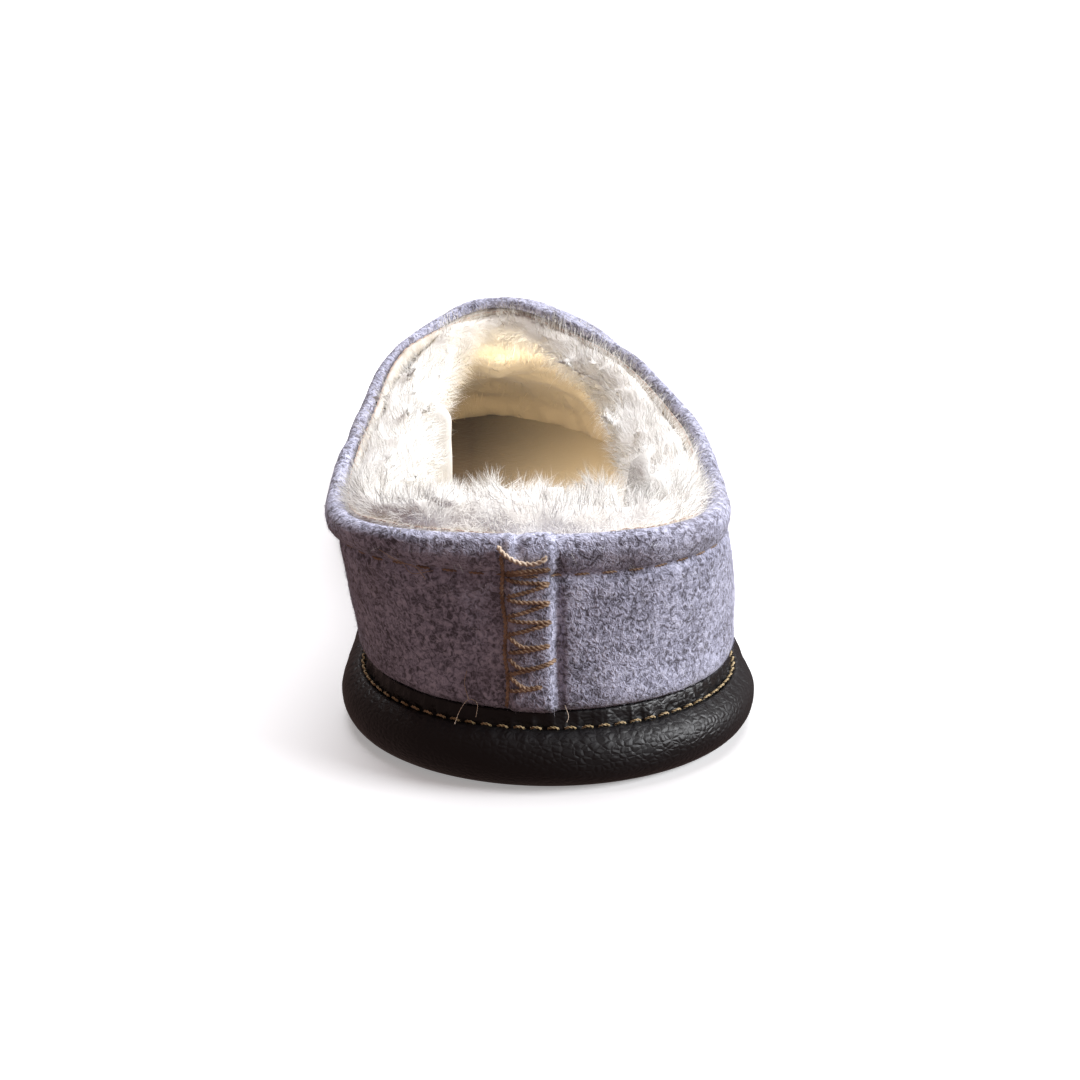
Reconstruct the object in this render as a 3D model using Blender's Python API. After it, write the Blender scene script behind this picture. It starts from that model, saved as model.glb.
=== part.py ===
"""Felt slipper for the right foot: a felt upper with a deep pile lining on a padded leather sole.

Metres, +Z up. The toe points to +Y and the outer side of the foot is +X.
Sections are worked out from the heel, with y = 0 at the back of the sole, and
the finished slipper is then placed with its origin under the middle of its plan.
"""

import math

import bmesh
import bpy
import numpy as np
from mathutils import Vector
from mathutils.bvhtree import BVHTree

# Sizes of the sole.
SOLE_LENGTH = 0.264
HEEL_WIDTH = 0.086
WAIST_WIDTH = 0.083
BALL_WIDTH = 0.100
TOE_WIDTH = 0.095
FOREFOOT_SWING = 0.0105
HEEL_ROUND = 0.046
TOE_ROUND = 0.074
ROLL_HEIGHT = 0.0119
SEAM_HEIGHT = 0.0105
EDGE_BULGE = 0.0046
SEAM_LIP = 0.0004
SOLE_FLAT_EDGE = 0.0074
TOE_SPRING = 0.006
SPRING_START = 0.72 * SOLE_LENGTH
WAIST_LIFT = 0.0015

# Sizes of the leather rand between sole and felt.
RAND_HEIGHT = 0.0036
RAND_WIDTH = 0.0036
RAND_LEAN = 0.0012

# Sizes of the felt upper.
FELT = 0.0024
HEEL_RIM_HEIGHT = 0.0475
THROAT_HEIGHT = 0.0758
TOE_HEIGHT = 0.045
THROAT_PLACE = 0.4186 * SOLE_LENGTH
TOE_RIDGE_PLACE = 0.856 * SOLE_LENGTH
COLLAR_SHIFT = 0.0045
SEAM_SHIFT = 0.0038
WALL_BELLY = 0.0026
HEM_DEPTH = 0.0058
HEM_PUFF = 0.0010
HEM_TROUGH = 0.0007
LAP_WIDTH = 0.0088
LAP_RISE = 0.0008

# Sizes of the binding, the pile lining and the insole.
BINDING_THICKNESS = 0.0009
BINDING_DEPTH = 0.0025
BINDING_RISE = 0.0007
PILE_COLLAR = 0.0125
PILE_VAMP = 0.0078
PILE_THROAT = 0.0060
PILE_FOOT = 0.0045
PILE_CREST_HEEL = 0.0058
PILE_CREST_SIDE = 0.0030
PILE_CREST_THROAT = 0.0014
LOCK_RELIEF = 0.0011
LOCK_LENGTH = 0.0060
LOCK_WIDTH = 0.0034
LOCK_ROOT = 0.0022
PILE_JOINT_PLACE = 0.2955 * SOLE_LENGTH
PILE_JOINT_BLEND = 0.004
PILE_THROAT_REACH = 0.028
PILE_FOOT_REACH = 0.020
INSOLE_CROWN = 0.0028
INSOLE_CROWN_EDGE = 0.0030
CLEARANCE = 0.0003

# How finely each piece is cut: stations along each side of the sole, lines up the wall from the back
# seam to the throat and from there to the toe, and how many locks stand on the pile.
SOLE_STATIONS = 28
RIM_LINES = 15
VAMP_LINES = 10
LOCK_COUNT = 80

# Outline of the padded sole, from heel to toe. along is a share of SOLE_LENGTH and centre a share of
# FOREFOOT_SWING; width is the full width that the side would have without the round ends.
OUTLINE = (
    # along, centre, width
    (0.00, 0.00, HEEL_WIDTH),
    (0.16, 0.00, HEEL_WIDTH),
    (0.38, 0.08, WAIST_WIDTH),
    (0.66, 0.30, BALL_WIDTH),
    (0.82, 0.76, TOE_WIDTH),
    (1.00, 1.20, TOE_WIDTH),
)

# The collar's rim, once round the opening: from the back seam forwards along the inner side, across the
# throat and back along the outer side. across is a share of half of HEEL_WIDTH from the collar's own
# middle, along a share of THROAT_PLACE, rise goes from HEEL_RIM_HEIGHT to THROAT_HEIGHT, foot is where the
# wall under it meets the sole as a share of SOLE_LENGTH, arch is how far the wall leans over, in degrees,
# and belly is how far it swells out, as a share of WALL_BELLY.
RIM = (
    # across, along, rise, foot, arch, belly
    (0.000, 0.045, 0.00, 0.000, 8, 0.4),
    (-0.330, 0.052, 0.00, 0.022, 8, 0.4),
    (-0.620, 0.083, 0.00, 0.054, 8, 0.6),
    (-0.845, 0.185, 0.00, 0.108, 8, 0.9),
    (-0.905, 0.380, 0.03, 0.180, 12, 1.0),
    (-0.825, 0.630, 0.32, 0.268, 28, 0.8),
    (-0.590, 0.862, 0.72, 0.358, 58, 0.4),
    (-0.128, 1.000, 1.00, 0.450, 90, 0.4),
    (0.465, 0.862, 0.74, 0.358, 58, 0.4),
    (0.815, 0.630, 0.36, 0.268, 28, 0.5),
    (0.895, 0.400, 0.10, 0.180, 12, 0.6),
    (0.850, 0.185, 0.03, 0.108, 8, 0.4),
    (0.620, 0.083, 0.01, 0.054, 8, 0.4),
    (0.330, 0.052, 0.00, 0.022, 8, 0.4),
)
THROAT_ROW = 7

# The vamp's ridge from the throat to the toe. along goes from THROAT_PLACE to TOE_RIDGE_PLACE, across is
# a share of FOREFOOT_SWING and fall goes from THROAT_HEIGHT to TOE_HEIGHT.
RIDGE = (
    # along, across, fall
    (0.00, 0.94, 0.00),
    (0.25, 0.94, 0.26),
    (0.50, 0.95, 0.57),
    (0.75, 0.97, 0.84),
    (1.00, 1.00, 1.00),
)

# Rows of points down the wall: first at distances from the rim in shares of HEM_DEPTH, HEM_ROWS on the
# felt and PLAIN_ROWS on the pile, and then at shares of what is left of the wall down to the sole.
HEM_ROWS = (0.00, 0.40, 0.75, 1.00, 1.35)
PLAIN_ROWS = (0.00, 1.35)
WALL_ROWS = (0.18, 0.38, 0.58, 0.78, 0.92, 1.00)

# Distances of the first lines from the back seam, in shares of LAP_WIDTH: they shape its raised band.
LAP_STATIONS = (0.0, 0.24, 0.43, 0.53, 0.66)

# Colours and finish of each material: red, green, blue, roughness.
FELT_LOOK = (0.42, 0.40, 0.50, 0.95)
PILE_LOOK = (0.90, 0.87, 0.80, 0.95)
BINDING_LOOK = (0.86, 0.78, 0.66, 0.85)
INSOLE_LOOK = (0.80, 0.74, 0.62, 0.95)
LEATHER_LOOK = (0.015, 0.015, 0.017, 0.45)


def smooth(knots, values, at):
    """A curve through the values, with the slope at each knot taken from its neighbours."""
    knots, values = np.asarray(knots, float), np.asarray(values, float)
    at = np.clip(np.asarray(at, float), knots[0], knots[-1])
    slopes = np.gradient(values, knots, axis=0)
    cell = np.clip(np.searchsorted(knots, at, side="right") - 1, 0, len(knots) - 2)
    width = knots[cell + 1] - knots[cell]
    t = (at - knots[cell]) / width
    if values.ndim > 1:
        t, width = t[..., None], width[..., None]
    start, end = values[cell], values[cell + 1]
    rise, fall = slopes[cell] * width, slopes[cell + 1] * width
    return (
        start * (1 + 2 * t) * (1 - t) ** 2
        + rise * t * (1 - t) ** 2
        + end * t**2 * (3 - 2 * t)
        + fall * t**2 * (t - 1)
    )


def ease(x, low, high):
    """0 below low, 1 above high, and a soft step between."""
    t = np.clip((np.asarray(x, float) - low) / (high - low), 0.0, 1.0)
    return t * t * (3 - 2 * t)


def unit(vectors):
    """The same directions with a length of 1."""
    return vectors / np.maximum(np.linalg.norm(vectors, axis=-1, keepdims=True), 1e-12)


def centre_line(share):
    """The sole's middle, which swings to the inner side towards the toe."""
    rows = np.array(OUTLINE)
    return -FOREFOOT_SWING * smooth(rows[:, 0], rows[:, 1], share)


def half_width(share):
    """Half of the sole's width, drawn in to nothing round the heel and the toe."""
    rows = np.array(OUTLINE)
    flat = smooth(rows[:, 0], rows[:, 2], share) / 2
    heel = np.clip(1 - share * SOLE_LENGTH / HEEL_ROUND, 0.0, 1.0)
    toe = np.clip(1 - (1 - share) * SOLE_LENGTH / TOE_ROUND, 0.0, 1.0)
    return flat * np.sqrt(1 - heel**2.05) * (1 - toe**2.3) ** 0.5


def turn_of(share):
    """The sole's sections bunch up at its round ends: turn runs evenly round them, from 0 to pi."""
    return np.arccos(1 - 2 * np.clip(share, 0.0, 1.0))


def outline(side, turn, inset=0.0):
    """Point on the plan of the sole, on the inner side (-1) or the outer side (+1)."""
    turn = np.asarray(turn, float)

    def raw(angle):
        folded = np.abs(angle)
        folded = np.where(folded > math.pi, 2 * math.pi - folded, folded)
        share = (1 - np.cos(folded)) / 2
        sign = np.where((angle < 0) | (angle > math.pi), -side, side)
        across = centre_line(share) + sign * half_width(share)
        return np.stack([across, share * SOLE_LENGTH], axis=-1)

    step = 0.02
    ahead = unit(raw(turn + step) - raw(turn - step))
    inward = np.stack([-side * ahead[..., 1], side * ahead[..., 0]], axis=-1)
    return raw(turn) + inset * inward


def seam_turn():
    """The back seam meets the sole on the inner side of the heel's middle: the turn where it does."""
    turns = np.linspace(0.0, 0.3, 61)
    return np.interp(SEAM_SHIFT, -outline(-1, turns, FELT_INSET)[:, 0], turns)


def spring(along):
    """How far the toe is lifted off the floor at this distance from the heel."""
    return TOE_SPRING * np.clip((along - SPRING_START) / (SOLE_LENGTH - SPRING_START), 0.0, 1.2) ** 2


def waist(along, across):
    """Lift of the sole's underside at the waist, most under the arch on the inner side."""
    share = along / SOLE_LENGTH
    bump = ease(share, 0.24, 0.36) * (1 - ease(share, 0.42, 0.56))
    lean = 0.6 - 0.4 * np.clip(across / (WAIST_WIDTH / 2), -1.0, 1.0)
    return WAIST_LIFT * bump * lean


def on_plan(flat, height):
    """Plan points at a height above the floor, with the toe spring added."""
    height = np.broadcast_to(height, flat.shape[:-1])
    return np.concatenate([flat, (height + spring(flat[..., 1]))[..., None]], axis=-1)


RAND_FOOT = SEAM_HEIGHT + CLEARANCE
FELT_FOOT = RAND_FOOT + RAND_HEIGHT + CLEARANCE
FELT_INSET = EDGE_BULGE + RAND_LEAN
LINING_INSET = FELT_INSET + FELT + CLEARANCE
RING_POINTS = 2 * SOLE_STATIONS - 2


def rim_loop(count=480):
    """The rim's table read at many places, with its first three columns turned into a position."""
    rows = np.array(RIM)
    wrapped = np.concatenate([rows[-3:], rows, rows[:3]])
    knots = np.arange(-3, len(rows) + 3)
    at = np.linspace(0, len(rows), count + 1)
    found = smooth(knots, wrapped, at)
    found[:, 0] = found[:, 0] * HEEL_WIDTH / 2 - COLLAR_SHIFT
    found[:, 1] *= THROAT_PLACE
    found[:, 2] = HEEL_RIM_HEIGHT + (THROAT_HEIGHT - HEEL_RIM_HEIGHT) * found[:, 2]
    return at, found


def side_of_rim(side):
    """The rim from the back seam to the throat on one side, with the arc length along it."""
    at, found = rim_loop()
    if side < 0:
        keep = at <= THROAT_ROW + 1e-9
        found = found[keep]
    else:
        keep = at >= THROAT_ROW - 1e-9
        found = found[keep][::-1]
    steps = np.linalg.norm(np.diff(found[:, :3], axis=0), axis=1)
    return np.concatenate([[0.0], np.cumsum(steps)]), found


def ridge_points(share):
    """Places along the vamp's ridge, from the throat (0) to the toe (1)."""
    rows = np.array(RIDGE)
    found = smooth(rows[:, 0], rows[:, 1:], share)
    along = THROAT_PLACE + (TOE_RIDGE_PLACE - THROAT_PLACE) * share
    across = -FOREFOOT_SWING * found[:, 0]
    height = THROAT_HEIGHT + (TOE_HEIGHT - THROAT_HEIGHT) * found[:, 1]
    return np.stack([across, along, height], axis=-1)


def rows_at_rim(fine):
    """Distances from the rim of the rows next to it: close together on the felt, wider on the pile."""
    return np.array(HEM_ROWS if fine else PLAIN_ROWS) * HEM_DEPTH


def wall_lines(side, fine):
    """Foot, top, arch and belly of each line up the wall on one side, from the back seam to the toe."""
    arc, rim = side_of_rim(side)
    near = np.array(LAP_STATIONS if fine else (LAP_STATIONS[0], LAP_STATIONS[-1])) * LAP_WIDTH
    rest = np.linspace(near[-1], arc[-1], RIM_LINES + 1)[1:]
    at = np.concatenate([near, rest])
    found = np.stack([np.interp(at, arc, rim[:, k]) for k in range(6)], axis=-1)
    tops, feet, arches, bellies = found[:, :3], found[:, 3], np.radians(found[:, 4]), found[:, 5]
    hem = rows_at_rim(fine)[1:] / (TOE_RIDGE_PLACE - THROAT_PLACE)
    ridge = np.concatenate([hem, np.linspace(hem[-1], 1.0, VAMP_LINES + 1)[1:]])
    throat_turn = turn_of(feet[-1])
    turns = turn_of(feet)
    turns = turns - side * seam_turn() * (1 - turns / throat_turn) ** 2
    turns = np.concatenate([turns, throat_turn + (math.pi - throat_turn) * ridge**0.9])
    tops = np.concatenate([tops, ridge_points(ridge)])
    arches = np.concatenate([arches, np.full(len(ridge), math.pi / 2)])
    bellies = np.concatenate([bellies, np.full(len(ridge), bellies[-1])])
    foot = on_plan(outline(side, turns, FELT_INSET), FELT_FOOT)
    return foot, tops, arches, bellies, len(at)


def wall_grid(side, fine):
    """Rows of points on the outer face of the felt, one row for each line up the wall."""
    foot, tops, arches, bellies, rims = wall_lines(side, fine)
    length = np.linalg.norm(tops - foot, axis=1)
    hem = 1 - np.outer(1 / length, rows_at_rim(fine))
    left = hem[:, -1:] * (1 - np.array(WALL_ROWS))[None, :]
    v = np.concatenate([hem, left], axis=1)
    swing = v * arches[:, None]
    over = (1 - np.cos(swing)) / (1 - np.cos(arches))[:, None]
    up = np.sin(swing) / np.sin(arches)[:, None]
    span = tops[:, None, :] - foot[:, None, :]
    points = foot[:, None, :] + span * np.stack([over, over, up], axis=-1)
    around = np.gradient(foot, axis=0)
    outward = unit(np.stack([side * around[:, 1], -side * around[:, 0], 0 * around[:, 0]], axis=-1))
    belly = WALL_BELLY * bellies[:, None] * np.sin(math.pi * v**0.75)
    points += outward[:, None, :] * belly[..., None]
    return points, rims


def quads_between(rows):
    """Faces between each two neighbouring rows of point numbers."""
    rows = np.asarray(rows)
    faces = np.stack([rows[:-1, :-1], rows[1:, :-1], rows[1:, 1:], rows[:-1, 1:]], axis=-1)
    return faces.reshape(-1, 4)


def face_normals_at(points, faces):
    """The direction of the faces round each point, larger faces counting for more."""
    corners = points[faces]
    crossed = np.cross(corners[:, 2] - corners[:, 0], corners[:, 3] - corners[:, 1])
    found = np.zeros_like(points)
    for k in range(4):
        np.add.at(found, faces[:, k], crossed)
    return unit(found)


class Wall:
    """The outer face of the felt wall, once round the foot, with its normals and its two edges."""

    def __init__(self, fine):
        inner, rims = wall_grid(-1, fine)
        outer, _ = wall_grid(1, fine)
        lines, depth = inner.shape[:2]
        one = np.arange(lines * depth).reshape(lines, depth)
        other = one + lines * depth
        other[0], other[-1], other[rims - 1 :, 0] = one[0], one[-1], one[rims - 1 :, 0]
        index = np.concatenate([one, other[::-1]])
        used, index = np.unique(index, return_inverse=True)
        index = index.reshape(2 * lines, depth)
        self.points = np.concatenate([inner, outer]).reshape(-1, 3)[used]
        faces = quads_between(index)
        self.faces = faces[[len(set(face)) > 2 for face in faces.tolist()]]
        self.normals = face_normals_at(self.points, self.faces)
        middle = self.points.mean(axis=0)
        if np.mean(np.sum(self.normals * (self.points - middle), axis=1)) < 0:
            self.normals = -self.normals
            self.faces = self.faces[:, ::-1]
        self.rim = np.concatenate([index[:rims, 0], index[len(index) - rims : -1, 0][1:]])
        self.foot = index[:-1, -1]
        self.foot = np.array([n for k, n in enumerate(self.foot) if n != self.foot[k - 1]])
        self.normals[self.foot, 2] = 0.0
        self.normals = unit(self.normals)
        self.throat = index[rims - 1, 0]
        self.triangles = self.split_faces()
        lines_inside = np.concatenate([index[:rims, 1:4], index[len(index) - rims : -1, 1:4]])
        self.inside_rows = np.unique(lines_inside)
        self.rim_gap = self.distance_to_rim()
        self.back_gap = self.points[:, 0] - self.back_line(self.points[:, 2])

    def split_faces(self):
        """Each face cut in two along its shorter diagonal, so that both sides of a wall are cut alike."""
        corners = self.points[self.faces]
        first = np.linalg.norm(corners[:, 0] - corners[:, 2], axis=1)
        second = np.linalg.norm(corners[:, 1] - corners[:, 3], axis=1)
        turned = np.where((first <= second)[:, None], self.faces, np.roll(self.faces, -1, axis=1))
        halves = np.concatenate([turned[:, [0, 1, 2]], turned[:, [0, 2, 3]]])
        return halves[[len(set(half)) == 3 for half in halves.tolist()]]

    def back_line(self, height):
        """Where the back seam stands across the heel at this height."""
        low, high = self.points[self.foot[0]], self.points[self.rim[0]]
        return np.interp(height, [low[2], high[2]], [low[0], high[0]])

    def distance_to_rim(self):
        """How far each point lies from the nearest stretch of the rim."""
        start = self.points[self.rim]
        step = np.roll(start, -1, axis=0) - start
        away = self.points[:, None, :] - start[None]
        t = np.clip(np.sum(away * step, axis=2) / np.sum(step * step, axis=1), 0, 1)
        return np.linalg.norm(away - t[..., None] * step, axis=2).min(axis=1)

    def inside(self, depth, ways):
        """Points at a depth behind the wall, with their lower edge kept level on the sole."""
        found = self.points - ways * np.reshape(depth, (-1, 1))
        found[self.foot, 2] = FELT_FOOT + spring(found[self.foot, 1])
        return found

    def nearest(self, places):
        """The nearest places on the wall, with the wall's direction outwards at each."""
        tree = BVHTree.FromPolygons(self.points.tolist(), self.triangles.tolist())
        spots, ways = [], []
        for place in places:
            spot, _, face, _ = tree.find_nearest(Vector(place))
            corners = self.triangles[face]
            weights = np.linalg.lstsq(self.points[corners].T, np.array(spot), rcond=None)[0]
            spots.append(np.array(spot))
            ways.append(weights @ self.normals[corners])
        return np.array(spots), np.array(ways)

    def softened(self, values, rounds):
        """The values at the wall's points, each time mixed with those of their neighbours."""
        values = np.array(values, float).reshape(len(self.points), -1)
        for _ in range(rounds):
            total, times = values.copy(), np.ones((len(values), 1))
            for k in range(4):
                near = self.faces[:, (k + 1) % 4]
                np.add.at(total, self.faces[:, k], values[near])
                np.add.at(times, self.faces[:, k], 1.0)
            values = total / times
        return values

    def rim_frame(self):
        """At each point of the rim: the way outwards from the wall, and the way off its edge."""
        here = self.points[self.rim]
        along = unit(np.roll(here, -1, axis=0) - np.roll(here, 1, axis=0))
        out = self.normals[self.rim]
        off = unit(np.cross(out, along))
        return here, out, off * np.sign(off[0, 2])


def hem_puff(gap):
    """How far the felt's outer face stands out at this distance from the rim."""
    puffed = HEM_PUFF * (1 - ease(gap, 0.72 * HEM_DEPTH, 0.98 * HEM_DEPTH))
    trough = HEM_TROUGH * np.exp(-(((gap - HEM_DEPTH) / (0.16 * HEM_DEPTH)) ** 2))
    return puffed - trough


def felt_depth(gap):
    """From the wall's outer face to its inner face: the hem is folded in, so it is double there."""
    return FELT + (FELT - HEM_PUFF) * (1 - ease(gap, 0.80 * HEM_DEPTH, 1.10 * HEM_DEPTH))


def lap_rise(wall):
    """The back seam is lapped: its band stands a little proud of the heel."""
    half = LAP_WIDTH / 2
    at_heel = wall.points[:, 1] < HEEL_ROUND / 2
    band = 1 - ease(np.abs(wall.back_gap), 0.86 * half, 1.22 * half)
    return LAP_RISE * band * at_heel


def new_object(name, points, faces, look):
    """An object with one closed mesh, shaded smooth, and a material of its own."""
    mesh = bpy.data.meshes.new(name)
    mesh.from_pydata([tuple(p) for p in points], [], faces)
    shape = bmesh.new()
    shape.from_mesh(mesh)
    bmesh.ops.remove_doubles(shape, verts=shape.verts, dist=1e-6)
    bmesh.ops.recalc_face_normals(shape, faces=shape.faces)
    shape.to_mesh(mesh)
    shape.free()
    mesh.shade_smooth()
    mesh.set_sharp_from_angle(angle=math.radians(40))
    made = bpy.data.objects.new(name, mesh)
    made.data.materials.append(material(name, look))
    bpy.context.scene.collection.objects.link(made)
    return made


def material(name, look):
    made = bpy.data.materials.new(name)
    made.use_nodes = True
    shader = made.node_tree.nodes["Principled BSDF"]
    shader.inputs["Base Color"].default_value = (*look[:3], 1.0)
    shader.inputs["Roughness"].default_value = look[3]
    shader.inputs["Metallic"].default_value = 0.0
    return made


def face_list(faces):
    """Faces as lists, with the corners that meet in one point left out."""
    listed = []
    for face in np.asarray(faces).tolist():
        kept = [n for k, n in enumerate(face) if n != face[k - 1]]
        if len(kept) > 2:
            listed.append(kept)
    return listed


def strip(one, other):
    """Faces between two closed rings of point numbers."""
    one, other = np.asarray(one), np.asarray(other)
    faces = np.stack([one, np.roll(one, -1), np.roll(other, -1), other], axis=-1)
    return face_list(faces)


def shell(name, wall, outer, inner, top_rings, look):
    """A closed wall from its outer face, its inner face and the rings that close it over the rim."""
    count = len(wall.points)
    points = np.concatenate([outer, inner, *top_rings])
    faces = wall.triangles.tolist() + (wall.triangles[:, ::-1] + count).tolist()
    faces += strip(wall.foot, wall.foot + count)
    rings = [wall.rim]
    for k in range(len(top_rings)):
        rings.append(2 * count + k * len(wall.rim) + np.arange(len(wall.rim)))
    rings.append(wall.rim + count)
    for one, other in zip(rings, rings[1:]):
        faces += strip(one, other)
    return new_object(name, points, faces, look)


def make_upper(wall):
    """The felt wall with its puffed hem, the roll over the rim and the lapped seam at the heel."""
    puff = hem_puff(wall.rim_gap) + lap_rise(wall)
    outer = wall.points + wall.normals * puff[:, None]
    inner = wall.inside(felt_depth(wall.rim_gap), wall.normals)
    _, _, off = wall.rim_frame()
    start, end = outer[wall.rim], inner[wall.rim]
    middle, radius = (start + end) / 2, np.linalg.norm(start - end, axis=1)[:, None] / 2
    rings = []
    for degrees in (40, 90, 140):
        angle = math.radians(degrees)
        rings.append(middle + radius * (math.cos(angle) * unit(start - end) + math.sin(angle) * off))
    return shell("felt_upper", wall, outer, inner, rings, FELT_LOOK)


def rings_around(inset, height):
    """One closed ring round the foot: up the inner side from heel to toe and back along the outer side."""
    turns = np.linspace(0, math.pi, SOLE_STATIONS)
    inner = on_plan(outline(-1, turns, inset), height)
    outer = on_plan(outline(1, turns, inset), height)
    return np.concatenate([inner, outer[-2:0:-1]])


def ladder(first):
    """Faces across a ring made by rings_around, joining its inner side to its outer side."""
    left = list(range(SOLE_STATIONS))
    right = [0] + [RING_POINTS - k for k in range(1, SOLE_STATIONS - 1)] + [SOLE_STATIONS - 1]
    faces = []
    for k in range(SOLE_STATIONS - 1):
        face = [left[k], left[k + 1], right[k + 1], right[k]]
        faces.append([first + n for j, n in enumerate(face) if n != face[j - 1]])
    return faces


def stacked(name, rings, look):
    """A solid from rings stacked from its underside to its top."""
    faces = ladder(0) + ladder((len(rings) - 1) * RING_POINTS)
    numbers = [k * RING_POINTS + np.arange(RING_POINTS) for k in range(len(rings))]
    for one, other in zip(numbers, numbers[1:]):
        faces += strip(one, other)
    return new_object(name, np.concatenate(rings), faces, look)


def hoop(name, rings, look):
    """A solid band once round the foot, from rings taken once round its section."""
    size = len(rings[0])
    numbers = [k * size + np.arange(size) for k in range(len(rings))]
    faces = []
    for one, other in zip(numbers, numbers[1:] + numbers[:1]):
        faces += strip(one, other)
    return new_object(name, np.concatenate(rings), faces, look)


def make_sole():
    """The padded sole: a flat underside, a round leather edge and a groove where the rand is sewn on."""
    radius = ROLL_HEIGHT / 2
    reach = EDGE_BULGE + 1.5 * SEAM_LIP
    rings = [rings_around(SOLE_FLAT_EDGE, 0.0)]
    for degrees in (-76, -48, -22, 4, 30, 54, 74):
        angle = math.radians(degrees)
        inset = reach * (1 - math.cos(angle))
        rings.append(rings_around(inset, radius * (1 + math.sin(angle))))
    rings.append(rings_around(EDGE_BULGE - SEAM_LIP, SEAM_HEIGHT + SEAM_LIP))
    rings.append(rings_around(EDGE_BULGE + SEAM_LIP, SEAM_HEIGHT))
    for ring in rings[:3]:
        flat = 1 - ease(ring[:, 2] - spring(ring[:, 1]), 0.0, radius)
        ring[:, 2] += flat * waist(ring[:, 1], ring[:, 0])
    return stacked("padded_sole", rings, LEATHER_LOOK)


def make_rand():
    """The leather strip between felt and sole: a band that leans in from the seam to the felt's foot."""
    section = (
        # inset, height
        (EDGE_BULGE + 0.16 * RAND_LEAN, 0.0),
        (EDGE_BULGE + 0.08 * RAND_LEAN, 0.22 * RAND_HEIGHT),
        (EDGE_BULGE + 0.55 * RAND_LEAN, 0.70 * RAND_HEIGHT),
        (EDGE_BULGE + RAND_LEAN, RAND_HEIGHT),
        (EDGE_BULGE + RAND_WIDTH, RAND_HEIGHT),
        (EDGE_BULGE + RAND_WIDTH, 0.0),
    )
    rings = [rings_around(inset, RAND_FOOT + height) for inset, height in section]
    return hoop("leather_rand", rings, LEATHER_LOOK)


def make_insole():
    """The insole: its edge lies under the lining and its middle stands up inside the pile."""
    inside = LINING_INSET + PILE_FOOT + 2 * CLEARANCE
    rings = [
        rings_around(LINING_INSET, RAND_FOOT),
        rings_around(LINING_INSET, FELT_FOOT - CLEARANCE),
        rings_around(inside, FELT_FOOT - CLEARANCE),
        rings_around(inside + 0.2 * INSOLE_CROWN_EDGE, FELT_FOOT + 0.6 * INSOLE_CROWN),
        rings_around(inside + INSOLE_CROWN_EDGE, FELT_FOOT + INSOLE_CROWN),
    ]
    return stacked("insole", rings, INSOLE_LOOK)


def lining_start(gap):
    """From the wall's outer face to the lining: behind the felt, and behind the binding at the rim."""
    hem = felt_depth(0.0) - FELT + BINDING_THICKNESS + 1.5 * CLEARANCE
    return FELT + CLEARANCE + hem * (1 - ease(gap, 1.4 * HEM_DEPTH, 2.6 * HEM_DEPTH))


def pile_depth(points, throat):
    """The pile is deepest round the collar, shorter over the toes and pressed thin at the sole."""
    joint = ease(points[:, 1], PILE_JOINT_PLACE - PILE_JOINT_BLEND, PILE_JOINT_PLACE + PILE_JOINT_BLEND)
    upper = PILE_COLLAR + (PILE_VAMP - PILE_COLLAR) * joint
    at_throat = 1 - ease(np.linalg.norm(points - throat, axis=1), 0.3 * PILE_THROAT_REACH, PILE_THROAT_REACH)
    upper = upper + (PILE_THROAT - upper) * at_throat
    height = points[:, 2] - spring(points[:, 1]) - FELT_FOOT
    return PILE_FOOT + (upper - PILE_FOOT) * ease(height, 0.05 * PILE_FOOT_REACH, PILE_FOOT_REACH)


def crest_height(points):
    """How far the pile stands up over the rim, from the heel to the throat."""
    place = points[:, 1] / THROAT_PLACE
    heel = PILE_CREST_SIDE + (PILE_CREST_HEEL - PILE_CREST_SIDE) * (1 - ease(place, 0.08, 0.45))
    return heel + (PILE_CREST_THROAT - heel) * ease(place, 0.55, 0.95)


def make_lining(wall):
    """The pile lining: a thick wall with a rounded crest over the rim and locks standing out of it."""
    start = lining_start(wall.rim_gap)
    depth = pile_depth(wall.points, wall.points[wall.throat])
    rough = np.random.default_rng(7).uniform(-1.0, 1.0, len(depth)) * LOCK_RELIEF
    rough *= 1 - ease(wall.points[:, 1], 0.78 * THROAT_PLACE, 0.92 * THROAT_PLACE)
    on_foot = np.isin(np.arange(len(depth)), wall.foot)
    depth = depth + np.where(on_foot, 0.0, rough)
    inwards = -unit(wall.softened(wall.normals, 8))
    outer = wall.inside(start, wall.normals)
    inner = outer + inwards * depth[:, None]
    inner[wall.foot] = outer[wall.foot] - wall.normals[wall.foot] * PILE_FOOT
    inner[wall.foot, 2] = FELT_FOOT + spring(inner[wall.foot, 1])
    _, _, off = wall.rim_frame()
    one, other = outer[wall.rim], inner[wall.rim]
    middle, half = (one + other) / 2, (one - other) / 2
    rise = crest_height(wall.points[wall.rim])[:, None]
    rings = []
    for degrees in (30, 65, 100, 140):
        angle = math.radians(degrees)
        rings.append(middle + math.cos(angle) * half + math.sin(angle) * rise * off)
    made = shell("fur_lining", wall, outer, inner, rings, PILE_LOOK)
    spots = np.concatenate([rings[2], rings[3], inner[wall.inside_rows]])
    return made, spots


def make_binding(wall):
    """The binding: a thin strip that stands between the felt's hem and the pile."""
    here, out, off = wall.rim_frame()
    below, below_out = wall.nearest(here - off * BINDING_DEPTH)
    start = felt_depth(0.0) + 1.5 * CLEARANCE
    end = start + BINDING_THICKNESS
    rings = [
        below - below_out * start,
        here - out * start + off * BINDING_RISE * 0.4,
        here - out * (start + end) / 2 + off * BINDING_RISE,
        here - out * end + off * BINDING_RISE * 0.4,
        below - below_out * (start + 0.4 * BINDING_THICKNESS),
    ]
    return hoop("collar_binding", rings, BINDING_LOOK)


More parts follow.
